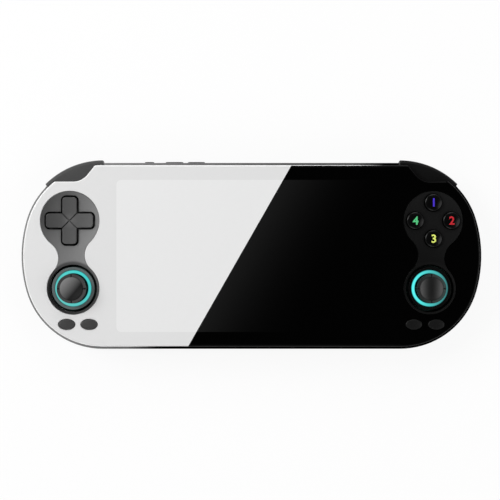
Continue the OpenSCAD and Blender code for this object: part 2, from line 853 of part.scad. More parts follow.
module stick_stem() {
    shoulder = cap_rise - cap_t - cap_seat;
    translate([stick.x, stick.y, z_pivot]) {
        rotate_extrude() {
            intersection() {
                difference() {
                    circle(dome_r, $fn = 96);
                    circle(dome_r - dome_t, $fn = 96);
                }
                polygon([[0, 0], [far * tan(dome_angle), far], [0, far]]);
            }
            translate([0, -stem_foot]) square([stem_r, shoulder + stem_foot]);
            square([stem_pin_r, shoulder + stem_pin_h]);
        }
        rotate([90, 0, 0]) cylinder(r = trunnion_r, h = 2 * yoke_half - slide_gap, center = true);
    }
}

module stick_cap() {
    shoulder = cap_rise - cap_t - cap_seat;
    dish_edge = cap_r - cap_rim;
    dish_r = (pow(dish_edge, 2) + pow(cap_dish, 2)) / (2 * cap_dish);
    translate([stick.x, stick.y, z_pivot]) difference() {
        union() {
            translate([0, 0, cap_rise - cap_t]) cylinder(r = cap_r, h = cap_t);
            translate([0, 0, shoulder]) cylinder(r = stem_r + cap_hub[0], h = cap_hub[1]);
        }
        translate([0, 0, shoulder - over])
            cylinder(r = stem_pin_r + run_gap, h = over + stem_pin_h + fit_gap);
        translate([0, 0, cap_rise - cap_dish + dish_r]) sphere(dish_r, $fn = 96);
        for (turn = [0:90:270]) rotate(turn)
            translate([dish_edge - fit_gap, -cap_notch.y / 2, cap_rise - cap_notch.z])
                cube(cap_notch + [0, 0, over]);
    }
}

module light_ring() {
    translate([stick.x, stick.y, 0]) rotate_extrude()
        polygon([
            [light_bore_r, z_light], [light_r, z_light],
            [light_r, z_collar_top - ring_drop[0]], [light_bore_r, z_collar_top - ring_drop[1]]
        ]);
}

module stick_collar() {
    translate([stick.x, stick.y, 0]) rotate_extrude() translate([light_r + fit_gap, z_light])
        square([collar_r - light_r - fit_gap, z_collar_top - z_light]);
}

module light_board() {
    translate([stick.x, stick.y, z_housing]) difference() {
        cylinder(r = light_board_r, h = light_board_t);
        translate([0, 0, -over]) cylinder(r = light_bore_r + light_board_bore, h = far);
    }
}

// Section of a lever is drawn with x as the distance from the corner's centre
module bumper_section() {
    height = z_bumper_top - bumper_z;
    translate([pocket_r, z_bumper_flange]) square([shoulder_r - lever_round - pocket_r, lever_flange]);
    translate([shoulder_r - lever_wall, bumper_z]) {
        square([lever_wall - lever_round, height]);
        square([lever_wall, height - lever_round]);
        translate([lever_wall - lever_round, height - lever_round]) circle(lever_round);
    }
}

module trigger_section() {
    top = z_lever_split;
    back = z_back + slide_gap;
    round_r = top - back;
    reach = shoulder_r - trigger_recess;
    intersection() {
        union() {
            translate([lever_in_r, back]) square([reach - round_r - lever_in_r, round_r]);
            translate([reach - round_r, top]) circle(round_r);
        }
        union() {
            translate([lever_in_r, back]) square([reach - lever_in_r, lever_flange]);
            translate([reach - lever_wall, back]) square([lever_wall, round_r]);
        }
    }
}

module pivot_boss(z0, z1) {
    translate([pin_at.x, pin_at.y, z0]) cylinder(r = boss_r, h = z1 - z0);
    corner_sector(shoulder_to - boss_angle, pin_angle)
        translate([lever_in_r, z0]) square([arm_r - lever_in_r, z1 - z0]);
    corner_sector(shoulder_to - boss_angle, shoulder_to)
        translate([lever_in_r, z0]) square([shoulder_r - lever_wall + over - lever_in_r, z1 - z0]);
}

module pin_hole() {
    translate([pin_at.x, pin_at.y, 0]) cylinder(r = pin_r + run_gap, h = far);
}

module bumper() {
    difference() {
        union() {
            corner_sector(shoulder_from, shoulder_to) bumper_section();
            pivot_boss(bumper_z, z_bumper_top);
        }
        pin_hole();
    }
}

module trigger() {
    difference() {
        union() {
            corner_sector(trigger_from, shoulder_to) trigger_section();
            pivot_boss(z_floor + flange_t + slide_gap, z_lever_split);
        }
        pin_hole();
    }
}

module shoulder_pin() {
    low = z_floor - rear_floor / 2 + fit_gap;
    translate([pin_at.x, pin_at.y, low]) cylinder(r = pin_r, h = z_frame + pin_socket - fit_gap - low);
}

module shoulder_switches() {
    low = z_floor + free_gap;
    tip_r = shoulder_r - lever_wall - over;
    translate([corner_x, corner_y, 0]) rotate(switch_angle) {
        difference() {
            translate([pocket_r - switch_sink, -switch_plate.y / 2, low])
                cube([switch_plate.x + switch_sink, switch_plate.y, switch_plate.z]);
            cylinder(r = pocket_r, h = far, $fn = 256);
        }
        for (z = [z_lever_split - switch_off[0], bumper_z + switch_off[1]])
            translate([pocket_r + switch_plate.x, 0, z]) {
                translate([0, -switch_body.y / 2, -switch_body.z / 2]) cube(switch_body);
                rotate([0, 90, 0]) cylinder(r = plunger_r, h = tip_r - pocket_r - switch_plate.x);
            }
    }
}

module top_key(k) {
    inner = body_h / 2 - wall - slide_gap;
    translate([k.x, 0, z_top_key]) rotate([-90, 0, 0]) {
        translate([0, 0, inner]) linear_extrude(wall + slide_gap + top_key_proud) stadium(k.y, top_key_h);
        translate([0, 0, inner - top_key_flange])
            linear_extrude(top_key_flange)
                stadium(k.y + top_key_lip[0], top_key_h + top_key_lip[1]);
    }
}

module top_key_board() {
    color("darkgreen") {
        translate([top_board_x[0], top_board_y[0], z_top_key - top_board_h / 2])
            cube([top_board_x[1] - top_board_x[0], top_board_y[1] - top_board_y[0], top_board_h]);
        for (k = top_keys)
            translate([k.x - top_switch.x / 2, top_board_y[1], z_top_key - top_switch.z / 2])
                cube(top_switch);
    }
}

module control_board() {
    translate([0, 0, z_board]) linear_extrude(board_t) difference() {
        intersection() {
            outline(board_inset);
            translate([board_edge_x, -far / 2]) square([far, far]);
        }
        translate([corner_x, corner_y]) difference() {
            translate([-far / 2, 0]) square([far, far]);
            circle(pocket_r - pocket_wall - slide_gap);
        }
        translate(stick) square(housing_w + 2 * slide_gap, center = true);
        for (p = screw_places) translate(p) circle(screw_r + slide_gap);
    }
}

module main_board() {
    color("darkgreen") translate([0, 0, z_main]) linear_extrude(main_t) difference() {
        translate([-main_w / 2, main_y[0]]) square([main_w, main_y[1] - main_y[0]]);
        translate([jack_x - jack_body.x / 2 - slide_gap, main_y[0] - over])
            square([jack_body.x + 2 * slide_gap, jack_body.y + over + slide_gap]);
        for (s = [-1, 1], p = main_posts) translate([s * p.x, p.y]) circle(board_screw_r + slide_gap);
    }
}

module board_screws() {
    color("silver") both_sides() for (p = main_posts) translate([p.x, p.y, z_floor + free_gap]) {
        cylinder(r = board_screw_r, h = z_main_top - z_floor - free_gap);
        translate([0, 0, z_main_top - z_floor - free_gap]) cylinder(r = 2 * board_screw_r, h = board_head_h);
    }
}

module processor_shield() {
    color("silver") translate([shield_x[0], main_y[0] + shield_in, z_main_top]) difference() {
        cube(shield_size);
        translate([shield_wall, shield_wall, -over])
            cube(shield_size - [2 * shield_wall, 2 * shield_wall, shield_wall - over]);
    }
}

module battery() {
    color("lightgray") translate([0, (battery_y[0] + battery_y[1]) / 2, z_floor])
        linear_extrude(battery_size.z) rounded_rect(battery_size.x, battery_size.y, battery_r);
}

module speaker() {
    translate([speaker_at.x, speaker_at.y, z_floor]) difference() {
        linear_extrude(speaker_size.z) rounded_rect(speaker_size.x, speaker_size.y, speaker_r);
        translate([0, 0, speaker_size.z - cone_depth]) linear_extrude(far)
            stadium(speaker_size.x - 2 * cone_rim, speaker_size.y - 2 * cone_rim);
    }
}

module usb_socket() {
    color("silver") translate([0, -body_h / 2 + slide_gap, z_usb]) rotate([-90, 0, 0]) {
        difference() {
            linear_extrude(usb_depth) stadium(usb_size.x, usb_size.y);
            translate([0, 0, -over]) linear_extrude(usb_depth - usb_end + over)
                stadium(usb_size.x - 2 * usb_wall, usb_size.y - 2 * usb_wall);
        }
        translate([-usb_tongue.x / 2, -usb_tongue.y / 2, over])
            cube([usb_tongue.x, usb_tongue.y, usb_depth - over - slide_gap]);
    }
}

module headphone_socket() {
    color("black") translate([jack_x, main_y[0] + slide_gap, z_jack]) difference() {
        union() {
            translate([-jack_body.x / 2, 0, -jack_body.z / 2]) cube(jack_body - [0, slide_gap, 0]);
            rotate([90, 0, 0]) cylinder(r = jack_nose_r, h = wall + main_edge);
            translate([-jack_body.x / 2 - jack_foot.x, jack_foot_in, z_main_top - z_jack])
                cube([jack_body.x + 2 * jack_foot.x, jack_foot.y, jack_foot.z]);
        }
        translate([0, -far / 2, 0]) rotate([-90, 0, 0])
            cylinder(r = jack_r, h = far / 2 + jack_body.y - jack_end);
    }
}

module card_socket() {
    color("silver") translate([-card_x - card_size.x / 2, main_y[0], z_main_top]) difference() {
        cube(card_size);
        translate([card_wall.x, -over, card_wall.z])
            cube(card_size - [2 * card_wall.x, card_wall.y - over, 2 * card_wall.z]);
    }
}

placed() front_shell();
placed() front_lens();
placed() display_panel();
placed() mid_frame();
placed() rear_shell();
placed() case_screws();
placed() left_control_plate();
placed() right_control_plate();
placed() dpad();
placed() dpad_pivot();
placed() dpad_membrane();
placed() face_button(90);  // face_button_top
placed() face_button(0);  // face_button_right
placed() face_button(270);  // face_button_bottom
placed() face_button(180);  // face_button_left
placed() face_button_membrane();
placed() on_left() color("dimgray") oval_key(key_outer_x);  // left_outer_key
placed() on_left() color("dimgray") oval_key(key_inner_x);  // left_inner_key
placed() color("black") oval_key(key_inner_x);  // right_inner_key
placed() color("black") oval_key(key_outer_x);  // right_outer_key
placed() on_left() color("white") key_membrane();  // left_key_membrane
placed() color("white") key_membrane();  // right_key_membrane
placed() on_left() color("darkgray") stick_housing();  // left_stick_housing
placed() on_left() color("ivory") stick_yoke();  // left_stick_yoke
placed() on_left() color("dimgray") stick_stem();  // left_stick_stem
placed() on_left() color("dimgray") stick_cap();  // left_stick_cap
placed() on_left() color("cyan") light_ring();  // left_light_ring
placed() on_left() color("gray") stick_collar();  // left_stick_collar
placed() on_left() color("darkgreen") light_board();  // left_light_board
placed() color("darkgray") stick_housing();  // right_stick_housing
placed() color("ivory") stick_yoke();  // right_stick_yoke
placed() color("black") stick_stem();  // right_stick_stem
placed() color("black") stick_cap();  // right_stick_cap
placed() color("cyan") light_ring();  // right_light_ring
placed() color("black") stick_collar();  // right_stick_collar
placed() color("darkgreen") light_board();  // right_light_board
placed() on_left() color("dimgray") bumper();  // left_bumper
placed() color("black") bumper();  // right_bumper
placed() on_left() color("dimgray") trigger();  // left_trigger
placed() color("black") trigger();  // right_trigger
placed() on_left() color("silver") shoulder_pin();  // left_shoulder_pin
placed() color("silver") shoulder_pin();  // right_shoulder_pin
placed() on_left() color("silver") shoulder_switches();  // left_shoulder_switches
placed() color("silver") shoulder_switches();  // right_shoulder_switches
placed() color("dimgray") top_key(top_keys[0]);  // power_key
placed() color("dimgray") top_key(top_keys[1]);  // volume_up_key
placed() color("dimgray") top_key(top_keys[2]);  // volume_down_key
placed() top_key_board();
placed() on_left() color("darkgreen") control_board();  // left_control_board
placed() color("darkgreen") control_board();  // right_control_board
placed() main_board();
placed() board_screws();
placed() processor_shield();
placed() battery();
placed() on_left() color("black") speaker();  // left_speaker
placed() color("black") speaker();  // right_speaker
placed() usb_socket();
placed() headphone_socket();
placed() card_socket();
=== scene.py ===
"""Handheld game console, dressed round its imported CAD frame."""
import json
import math

import bmesh
import bpy
from bpy.props import FloatProperty, FloatVectorProperty, PointerProperty
from mathutils import Matrix, Vector


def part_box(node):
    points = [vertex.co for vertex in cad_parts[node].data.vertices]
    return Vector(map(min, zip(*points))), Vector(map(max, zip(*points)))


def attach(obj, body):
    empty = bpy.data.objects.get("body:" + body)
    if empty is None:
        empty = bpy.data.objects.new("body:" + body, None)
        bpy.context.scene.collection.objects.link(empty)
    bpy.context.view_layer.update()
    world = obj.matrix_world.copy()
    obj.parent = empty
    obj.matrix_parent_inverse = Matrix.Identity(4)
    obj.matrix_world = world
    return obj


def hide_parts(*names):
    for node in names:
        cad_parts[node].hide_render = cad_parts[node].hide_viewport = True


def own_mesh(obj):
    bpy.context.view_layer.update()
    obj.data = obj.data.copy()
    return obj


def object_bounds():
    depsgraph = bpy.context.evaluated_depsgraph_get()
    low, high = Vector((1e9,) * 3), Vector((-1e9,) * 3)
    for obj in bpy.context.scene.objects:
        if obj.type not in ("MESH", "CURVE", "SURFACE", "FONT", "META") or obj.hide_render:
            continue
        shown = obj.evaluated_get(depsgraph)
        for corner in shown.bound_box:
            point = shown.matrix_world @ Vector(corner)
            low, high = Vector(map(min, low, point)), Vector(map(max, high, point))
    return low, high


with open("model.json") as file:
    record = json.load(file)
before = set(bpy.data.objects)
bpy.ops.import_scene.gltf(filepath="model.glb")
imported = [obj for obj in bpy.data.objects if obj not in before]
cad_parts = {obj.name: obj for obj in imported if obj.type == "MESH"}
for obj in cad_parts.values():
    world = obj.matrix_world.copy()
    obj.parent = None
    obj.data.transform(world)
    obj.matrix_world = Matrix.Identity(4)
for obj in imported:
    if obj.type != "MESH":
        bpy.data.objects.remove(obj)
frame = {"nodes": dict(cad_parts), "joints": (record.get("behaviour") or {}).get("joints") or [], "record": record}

bl_info = {
    "name": "Handheld Game Console",
    "version": (1, 0, 0),
    "blender": (4, 5, 0),
    "location": "View3D > Sidebar > Console",
    "description": "Edges, marks and finishes for a handheld game console",
    "category": "Add Mesh",
}

CAD_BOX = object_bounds()
NODES = frame["nodes"]
BODY_OF = {node: body for body, nodes in frame["record"]["behaviour"]["bodies"].items() for node in nodes}
SIDES = ("left", "right")
BUTTONS = ("top", "right", "bottom", "left")
PAD_OF = {"left": "dpad_pivot", "right": "face_button_membrane"}

# Corners closer than this are one corner, and faces flatter than this are one face
WELD = 2e-6
FLAT = math.radians(0.4)
# Edges sharper than this are rounded, and shaded as edges
SHARP = math.radians(32)
# Normals whose product is above this face the same way
SAME_WAY = math.cos(math.radians(2.5))

# Middle of the case, which lies a little below the middle of the box because the bumpers stand out
LENS_LOW, LENS_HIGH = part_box("front_lens")
LENS_HALF = (LENS_HIGH - LENS_LOW) / 2
CASE_MIDDLE = (LENS_LOW + LENS_HIGH) / 2
FACE_Z = LENS_HIGH.z
# Two points closer than this lie on the same edge or face of the case
NEAR = 0.0003
# Shoulder notches lie above the first height over the middle of the case, and openings below the second
NOTCH_ABOVE, OPENING_BELOW = 0.029, 0.0285
# Grooves between the D-pad's arms end this far from its middle
GROOVE_REACH = 0.0031
# Painted shade ring round a stick's well: where it ends, and the width over which it turns into the plate
SHADED_WELL_EDGE, SHADED_WELL_BLUR = 0.0105, 0.0008
# Clearance that a dust lip keeps from each lever, and that the floor keeps from the part
LIP_GAP, FLOOR_GAP = 0.00008, 0.00005


def middle_of(node):
    low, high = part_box(node)
    return (low + high) / 2


def linear(red, green, blue):
    """Linear colour of a display colour given from 0 to 255."""
    def channel(value):
        value /= 255
        return value / 12.92 if value <= 0.04045 else ((value + 0.055) / 1.055) ** 2.4
    return (channel(red), channel(green), channel(blue))


def tone(value):
    """Linear grey of a display grey given from 0 to 255."""
    return linear(value, value, value)


def length(name, description, default):
    return FloatProperty(name=name, description=description, default=default, unit="LENGTH", precision=5)


def angle(name, description, degrees):
    return FloatProperty(name=name, description=description, default=math.radians(degrees), subtype="ANGLE")


def colour(name, description, default):
    return FloatVectorProperty(
        name=name, description=description, default=default, subtype="COLOR", min=0, max=1)


class ConsoleSizes(bpy.types.PropertyGroup):
    """Sizes that the CAD solids leave to the looks"""
    cover_round: length("Cover edge", "Rounding of the front cover along the shoulder notches", 0.0006)
    panel_round: length("Panel edge", "Rounding of plates, frame and lens", 0.00018)
    key_round: length("Key edge", "Rounding of the keys and the D-pad", 0.0003)
    fine_round: length("Fine edge", "Rounding of sockets, screws and rings", 0.00008)
    # Height over which the painted highlight brightens the pale cover at its rounded edge
    edge_fade: length("Edge fade", "Height over which the pale cover brightens at its edge", 0.0002)
    seam: length("Lens seam", "Clearance round the lens that its visible rim closes", 0.0001)
    mark_height: length("Mark height", "Height of the numerals on the face buttons", 0.0034)
    mark_depth: length("Mark depth", "Depth of the numerals' inlay", 0.00012)
    mark_proud: length("Mark proud", "How far the numerals stand out of the buttons", 0.000035)
    mark_bold: FloatProperty(
        name="Mark weight", description="Thickening of the numerals' strokes", default=0.022)
    button_crown: length("Button crown", "Radius of the face buttons' domes", 0.0125)
    display_width: length("Display width", "Width of the picture area under the lens", 0.1098)
    display_height: length("Display height", "Height of the picture area under the lens", 0.0618)
    display_corner: length("Display corner", "Corner radius of the picture area", 0.002)
    print_height: length("Print height", "Half height of the two-tone print on the front", 0.0367)
    cap_dish: length("Cap dish", "Radius of the dished middle of a stick cap", 0.00475)
    grip_from: length("Grip start", "Distance from the middle at which the dimpled grip starts", 0.06)
    shoulder_x: length("Shoulder across", "Distance of the shoulder arcs' centres from the middle", 0.0608)
    shoulder_y: length("Shoulder up", "Height of the shoulder arcs' centres in the frame", 0.005)
    lip_inner: length("Lip inner radius", "Inner radius of the dust lips under the bumpers' ends", 0.0312)
    lip_outer: length("Lip outer radius", "Outer radius of the dust lips under the bumpers' ends", 0.0332)
    lip_from: angle("Lip start", "Angle at which a dust lip starts, from the width axis", 43.2)
    lip_to: angle("Lip end", "Angle at which a dust lip ends", 46)
    contact_width: length("Contact width", "Width of a contact in the USB socket", 0.00045)
    contact_length: length("Contact length", "Length of a contact in the USB socket", 0.004)
    contact_pitch: length("Contact pitch", "Spacing of the contacts in the USB socket", 0.0008)
    contact_rise: length("Contact rise", "How far a contact stands out of the tongue", 0.00004)
    contact_back: length("Contact setback", "Distance of the contacts from the socket's mouth", 0.0015)
    tongue_half: length("Tongue half", "Half thickness of the tongue in the USB socket", 0.00035)
    sheet: length("Sheet", "Height at which a dome stands on its membrane's sheet", 0.00062)
    dome_reach: length("Dome reach", "Radius round a key's middle that holds its dome", 0.0032)
    plate_dish: length("Plate dish", "Radius of the sphere that dishes the control plates", 0.13481)
    dpad_dish: length("D-pad dish", "Radius of the sphere that dishes the D-pad", 0.0755)
    split_at: length("Split place", "Where the two-tone line crosses the lens at half height", -0.00477)
    split_lean: angle("Split lean", "Lean of the two-tone line on the lens from upright", 29.7)
    # Width over which the painted reflection beside the line fades to black
    sheen_reach: length("Sheen reach", "Width over which the display's sheen fades to black", 0.052)
    cover_split_at: length("Cover split place", "Where the borders turn black, at half height", 0.0018)
    cover_split_blur: length("Cover split blur", "Width over which the cover's borders turn black", 0.012)
    cover_split_lean: angle("Cover split lean", "Lean of the two-tone line between the cover's borders", 51.2)


class ConsoleColours(bpy.types.PropertyGroup):
    """Colours of the finishes"""
    pale: colour("Pale cover", "Cover and lens left of the line", tone(225))
    # Painted highlight along the pale cover's rounded edge
    pale_edge: colour("Pale edge", "Rounded edge of the pale cover", tone(249))
    pale_display: colour("Pale display", "Unlit display under the pale half", tone(233))
    black: colour("Black cover", "Cover and lens right of the line", tone(1))
    # Painted reflection on the unlit display beside the line on the black half
    sheen: colour("Display sheen", "Unlit display beside the line on the black half", tone(25))
    frame_light: colour("Frame light", "Left end of the mid frame", tone(134))
    frame_dark: colour("Frame dark", "Mid frame beside the line", tone(92))
    graphite: colour("Graphite", "Rear cover and top keys", tone(84))
    solder_mask: colour("Solder mask", "Boards, some of which show in the wells", linear(14, 27, 24))
    # Glow colours: brighter towards one side of each ring, and dimmer towards the other
    glow_left: colour("Left glow", "Left light ring beside its diodes", linear(74, 212, 208))
    glow_left_far: colour("Left far glow", "Left light ring away from its diodes", linear(100, 199, 194))
    glow_right: colour("Right glow", "Right light ring beside its diodes", linear(94, 254, 250))
    glow_right_far: colour("Right far glow", "Right light ring away from its diodes", linear(62, 126, 126))
    # Painted shade at the sloped borders of the light rings
    glow_edge: colour("Glow edge", "Borders of the light rings", linear(10, 70, 68))
    mark_top: colour("Top mark", "Numeral on the top button", linear(70, 46, 200))
    mark_right: colour("Right mark", "Numeral on the right button", linear(188, 34, 44))
    mark_bottom: colour("Bottom mark", "Numeral on the bottom button", linear(214, 226, 108))
    mark_left: colour("Left mark", "Numeral on the left button", linear(80, 190, 122))


class Field:
    """Shader socket that takes part in Python expressions; each operator adds a Math node"""

    def __init__(self, finish, socket):
        self.finish = finish
        self.socket = socket

    def math(self, operation, *values, clamp=False):
        settings = {"operation": operation, "use_clamp": clamp}
        return self.finish.node("ShaderNodeMath", settings, dict(enumerate(values)))

    def __add__(self, other):
        return self.math("ADD", self, other)

    __radd__ = __add__

    def __sub__(self, other):
        return self.math("SUBTRACT", self, other)

    def __rsub__(self, other):
        return self.math("SUBTRACT", other, self)

    def __mul__(self, other):
        return self.math("MULTIPLY", self, other)

    __rmul__ = __mul__

    def __truediv__(self, other):
        return self.math("DIVIDE", self, other)

    def __pow__(self, other):
        return self.math("POWER", self, other)

    def __abs__(self):
        return self.math("ABSOLUTE", self)

    def __lt__(self, other):
        return self.math("LESS_THAN", self, other)

    def __gt__(self, other):
        return self.math("GREATER_THAN", self, other)

    def clamped(self):
        return self.math("ADD", self, 0, clamp=True)

    def at_least(self, other):
        return self.math("MAXIMUM", self, other)


class Finish:
    """Material with a node tree that is written as expressions"""

    def __init__(self, name, **constants):
        self.material = bpy.data.materials.new(name)
        self.material.use_nodes = True
        self.tree = self.material.node_tree
        self.shader = self.tree.nodes["Principled BSDF"]
        self.set(**constants)
        self.place = self.node("ShaderNodeTexCoord", output="Object")
        parts = self.node("ShaderNodeSeparateXYZ", sockets={0: self.place}).socket.node.outputs
        self.x, self.y, self.z = (Field(self, part) for part in parts)

    def node(self, kind, settings=None, sockets=None, output=0):
        """Adds a node: its settings first, then the values or links of its sockets."""
        made = self.tree.nodes.new(kind)
        for name, value in (settings or {}).items():
            if name == "stops":
                ramp = made.color_ramp.elements
                for position in range(len(ramp), len(value)):
                    ramp.new(position / len(value))
                for stop, (position, shade) in zip(ramp, value):
                    stop.position = position
                    stop.color = (*shade, 1)
            else:
                setattr(made, name, value)
        for name, value in (sockets or {}).items():
            self.feed(made.inputs[name], value)
        return Field(self, made.outputs[output])

    def feed(self, socket, value):
        if isinstance(value, Field):
            self.tree.links.new(value.socket, socket)
        elif socket.type == "RGBA" and len(value) == 3:
            socket.default_value = (*value, 1)
        else:
            socket.default_value = value

    def set(self, **values):
        """Sets sockets of the shader; Base_Color stands for Base Color."""
        for name, value in values.items():
            self.feed(self.shader.inputs[name.replace("_", " ")], value)
        return self

    def blend(self, factor, first, second):
        """Colour that goes from the first to the second."""
        return self.node("ShaderNodeMix", {"data_type": "RGBA"}, {0: factor, 6: first, 7: second}, 2)

    def shade(self, colour, factor):
        """Colour made darker or lighter by a factor."""
        return self.node("ShaderNodeVectorMath", {"operation": "SCALE"}, {0: colour, "Scale": factor})

    def noise(self, grain, detail=2.0, stretch=(1, 1, 1)):
        """Noise whose patches are about as wide as grain, in metres."""
        vector = self.node("ShaderNodeMapping", sockets={"Vector": self.place, "Scale": stretch})
        return self.node(
            "ShaderNodeTexNoise", sockets={"Vector": vector, "Scale": 1 / grain, "Detail": detail})

    def bump(self, height, depth, strength=1.0):
        """Relief of a height field, whose full range is depth in metres."""
        self.set(Normal=self.node(
            "ShaderNodeBump", sockets={"Strength": strength, "Distance": depth, "Height": height}))
        return self

    def moulded(self, roughness, spread=0.08, grain=0.00025, depth=0.000004):
        """Fine moulded grain with a slow change of gloss."""
        self.set(Roughness=roughness + spread * (self.noise(0.02) - 0.5))
        return self.bump(self.noise(grain, 3.0), depth)

    def past(self, at, lean):
        """Distance to the right of a leaning line, along the width."""
        return self.x - at - math.tan(lean) * (self.y - CASE_MIDDLE.y)

    def beyond(self, at, lean, soft=0.00006):
        """0 left of a leaning line and 1 right of it."""
        return (self.past(at, lean) / soft + 0.5).clamped()

    def across(self, middle, heading, span):
        """0 to 1 over a span along a heading, with a half at the middle."""
        along = (self.x - middle.x) * math.cos(heading) + (self.y - middle.y) * math.sin(heading)
        return (along / span + 0.5).clamped()

    def radius(self, middle):
        """Distance from the upright axis through the middle."""
        wide, high = self.x - middle.x, self.y - middle.y
        return (wide * wide + high * high) ** 0.5

    def fading(self, dark, light, middle, heading, span):
        """Satin tone that goes from dark to light, with a slight fleck."""
        fleck = 0.95 + 0.1 * self.noise(0.0009, 3.0)
        return self.shade(self.blend(self.across(middle, heading, span), dark, light), fleck)


def looks():
    """Sizes and colours of the scene."""
    scene = bpy.context.scene
    return scene.console_sizes, scene.console_colours


def cover_finish():
    """Two-tone gloss plastic: the lens's print runs on over its face, and a highlight is painted along its rounded
    edge.
    """
    sizes, colours = looks()
    finish = Finish("two_tone_cover", Specular_IOR_Level=0.04, Coat_Roughness=0.1)
    border = finish.beyond(sizes.cover_split_at, sizes.cover_split_lean, sizes.cover_split_blur)
    printed = finish.beyond(sizes.split_at, sizes.split_lean)
    on_face = (finish.z > FACE_Z - 0.0004) * (abs(finish.y - CASE_MIDDLE.y) < sizes.print_height)
    dark = border + on_face * (printed - border)
    # Painted highlight: the pale colour brightens along the rounded edge and the side walls below the face
    below = FACE_Z - finish.z
    edge = (below / sizes.edge_fade - 0.2).clamped() * ((0.001 - below) / sizes.edge_fade).clamped()
    pale = finish.blend(edge, colours.pale, colours.pale_edge)
    speckle = 0.99 + 0.02 * finish.noise(0.0015, 4.0)
    finish.set(Base_Color=finish.shade(finish.blend(dark, pale, colours.black), speckle))
    finish.set(Coat_Weight=0.4 - 0.38 * dark, Roughness=0.3 + 0.04 * (finish.noise(0.02) - 0.5))
    return finish.bump(finish.noise(0.00025, 3.0), 0.000002).material


def lens_finish():
    """Lens that is printed behind, over an unlit display with rounded corners; a reflection is painted on the
    black half beside the line.
    """
    sizes, colours = looks()
    finish = Finish("printed_lens", Specular_IOR_Level=0.04, Coat_Roughness=0.1)
    dark = finish.beyond(sizes.split_at, sizes.split_lean)
    corner = sizes.display_corner
    wide = (abs(finish.x) - sizes.display_width / 2 + corner).at_least(0)
    high = (abs(finish.y - CASE_MIDDLE.y) - sizes.display_height / 2 + corner).at_least(0)
    display = (wide * wide + high * high) < corner ** 2
    # Painted reflection: the display darkens away from the line on the black half
    painted_sheen_fall = (1 - finish.past(sizes.split_at, sizes.split_lean) / sizes.sheen_reach).clamped() ** 3.2
    pale = finish.blend(display, colours.pale, colours.pale_display)
    black = finish.blend(display * painted_sheen_fall, colours.black, colours.sheen)
    speckle = 0.99 + 0.02 * finish.noise(0.0015, 4.0)
    finish.set(Base_Color=finish.shade(finish.blend(dark, pale, black), speckle))
    finish.set(Coat_Weight=0.4 - 0.38 * dark, Roughness=0.3 + 0.04 * (finish.noise(0.02) - 0.5))
    return finish.bump(finish.noise(0.03), 0.000002).material


def frame_finish():
    """Mid frame: grey that darkens to the right and turns black beside the line."""
    sizes, colours = looks()
    finish = Finish("frame_paint", Specular_IOR_Level=0.0)
    dark = finish.beyond(sizes.cover_split_at, sizes.cover_split_lean, sizes.cover_split_blur)
    middle = CASE_MIDDLE - Vector((0.025, 0, 0))
    grey = finish.fading(colours.frame_light, colours.frame_dark, middle, 0, 0.08)
    finish.set(Base_Color=finish.blend(dark, grey, colours.black))
    return finish.moulded(0.4 + 0.5 * dark).material


def plate_finish(side):
    """Satin plate with painted light that makes it lighter to the right, and painted shade in a darker ring round
    the stick's well.
    """
    finish = Finish(side + "_plate_satin", Specular_IOR_Level=0.25 if side == "left" else 0.15)
    pad, stick = middle_of(PAD_OF[side]), middle_of(side + "_stick_collar")
    # Painted light and shade: each plate brightens along a heading, and the ring round the well is darker, lighter
    # on one side
    if side == "left":
        plate = finish.fading(tone(66), tone(132), pad, math.radians(-25), 0.024)
        ring = finish.fading(tone(22), tone(92), stick, math.radians(25), 0.021)
    else:
        plate = finish.fading(tone(8), tone(22), pad, math.radians(40), 0.026)
        ring = finish.fading(tone(8), tone(18), stick, 0, 0.021)
    past_shaded_ring = ((finish.radius(stick) - SHADED_WELL_EDGE) / SHADED_WELL_BLUR).clamped()
    finish.set(Base_Color=finish.blend(past_shaded_ring, ring, plate))
    return finish.moulded(0.42).material


def cap_finish(side):
    """Soft-touch stick cap: a dish with a painted highlight, a painted shade line round it, and a rim with painted
    light and painted shade in its notches.
    """
    sizes = looks()[0]
    finish = Finish(side + "_stick_rubber", Specular_IOR_Level=0.2)
    low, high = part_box(side + "_stick_cap")
    middle = (low + high) / 2
    around = finish.radius(middle)
    # Painted highlight on the left dish and painted reflection bands at the right dish's sides; the rims get
    # painted light, brighter to one side
    if side == "left":
        sheen = middle - Vector((0.0011, -0.0009, 0))
        dish = finish.fading(tone(134), tone(6), sheen, math.radians(-40), 0.0066)
        rim = finish.fading(tone(56), tone(66), middle, math.radians(-40), 0.01)
    else:
        band = (abs(finish.x - middle.x) / 0.0037).clamped() ** 2
        dish = finish.blend(band, tone(14), tone(76))
        rim = finish.fading(tone(30), linear(52, 64, 62), middle, 0, 0.01)
    # Painted shade: a dark line at the crease round the dish, and darker notches in the rim
    line = 1 - (abs(around - sizes.cap_dish) / 0.0003).clamped()
    painted_notch_shade = (around > sizes.cap_dish + 0.0001) * (high.z - finish.z > 0.0002) * (high.z - finish.z < 0.0004)
    top = finish.blend(around > sizes.cap_dish, dish, rim)
    finish.set(Base_Color=finish.shade(top, (1 - 0.6 * line) * (1 - 0.92 * painted_notch_shade)))
    finish.set(Roughness=0.5 + 0.1 * finish.noise(0.004))
    pores = finish.node("ShaderNodeTexVoronoi", {"feature": "F1"}, {"Vector": finish.place, "Scale": 4500.0})
    return finish.bump(pores, 0.00001).material


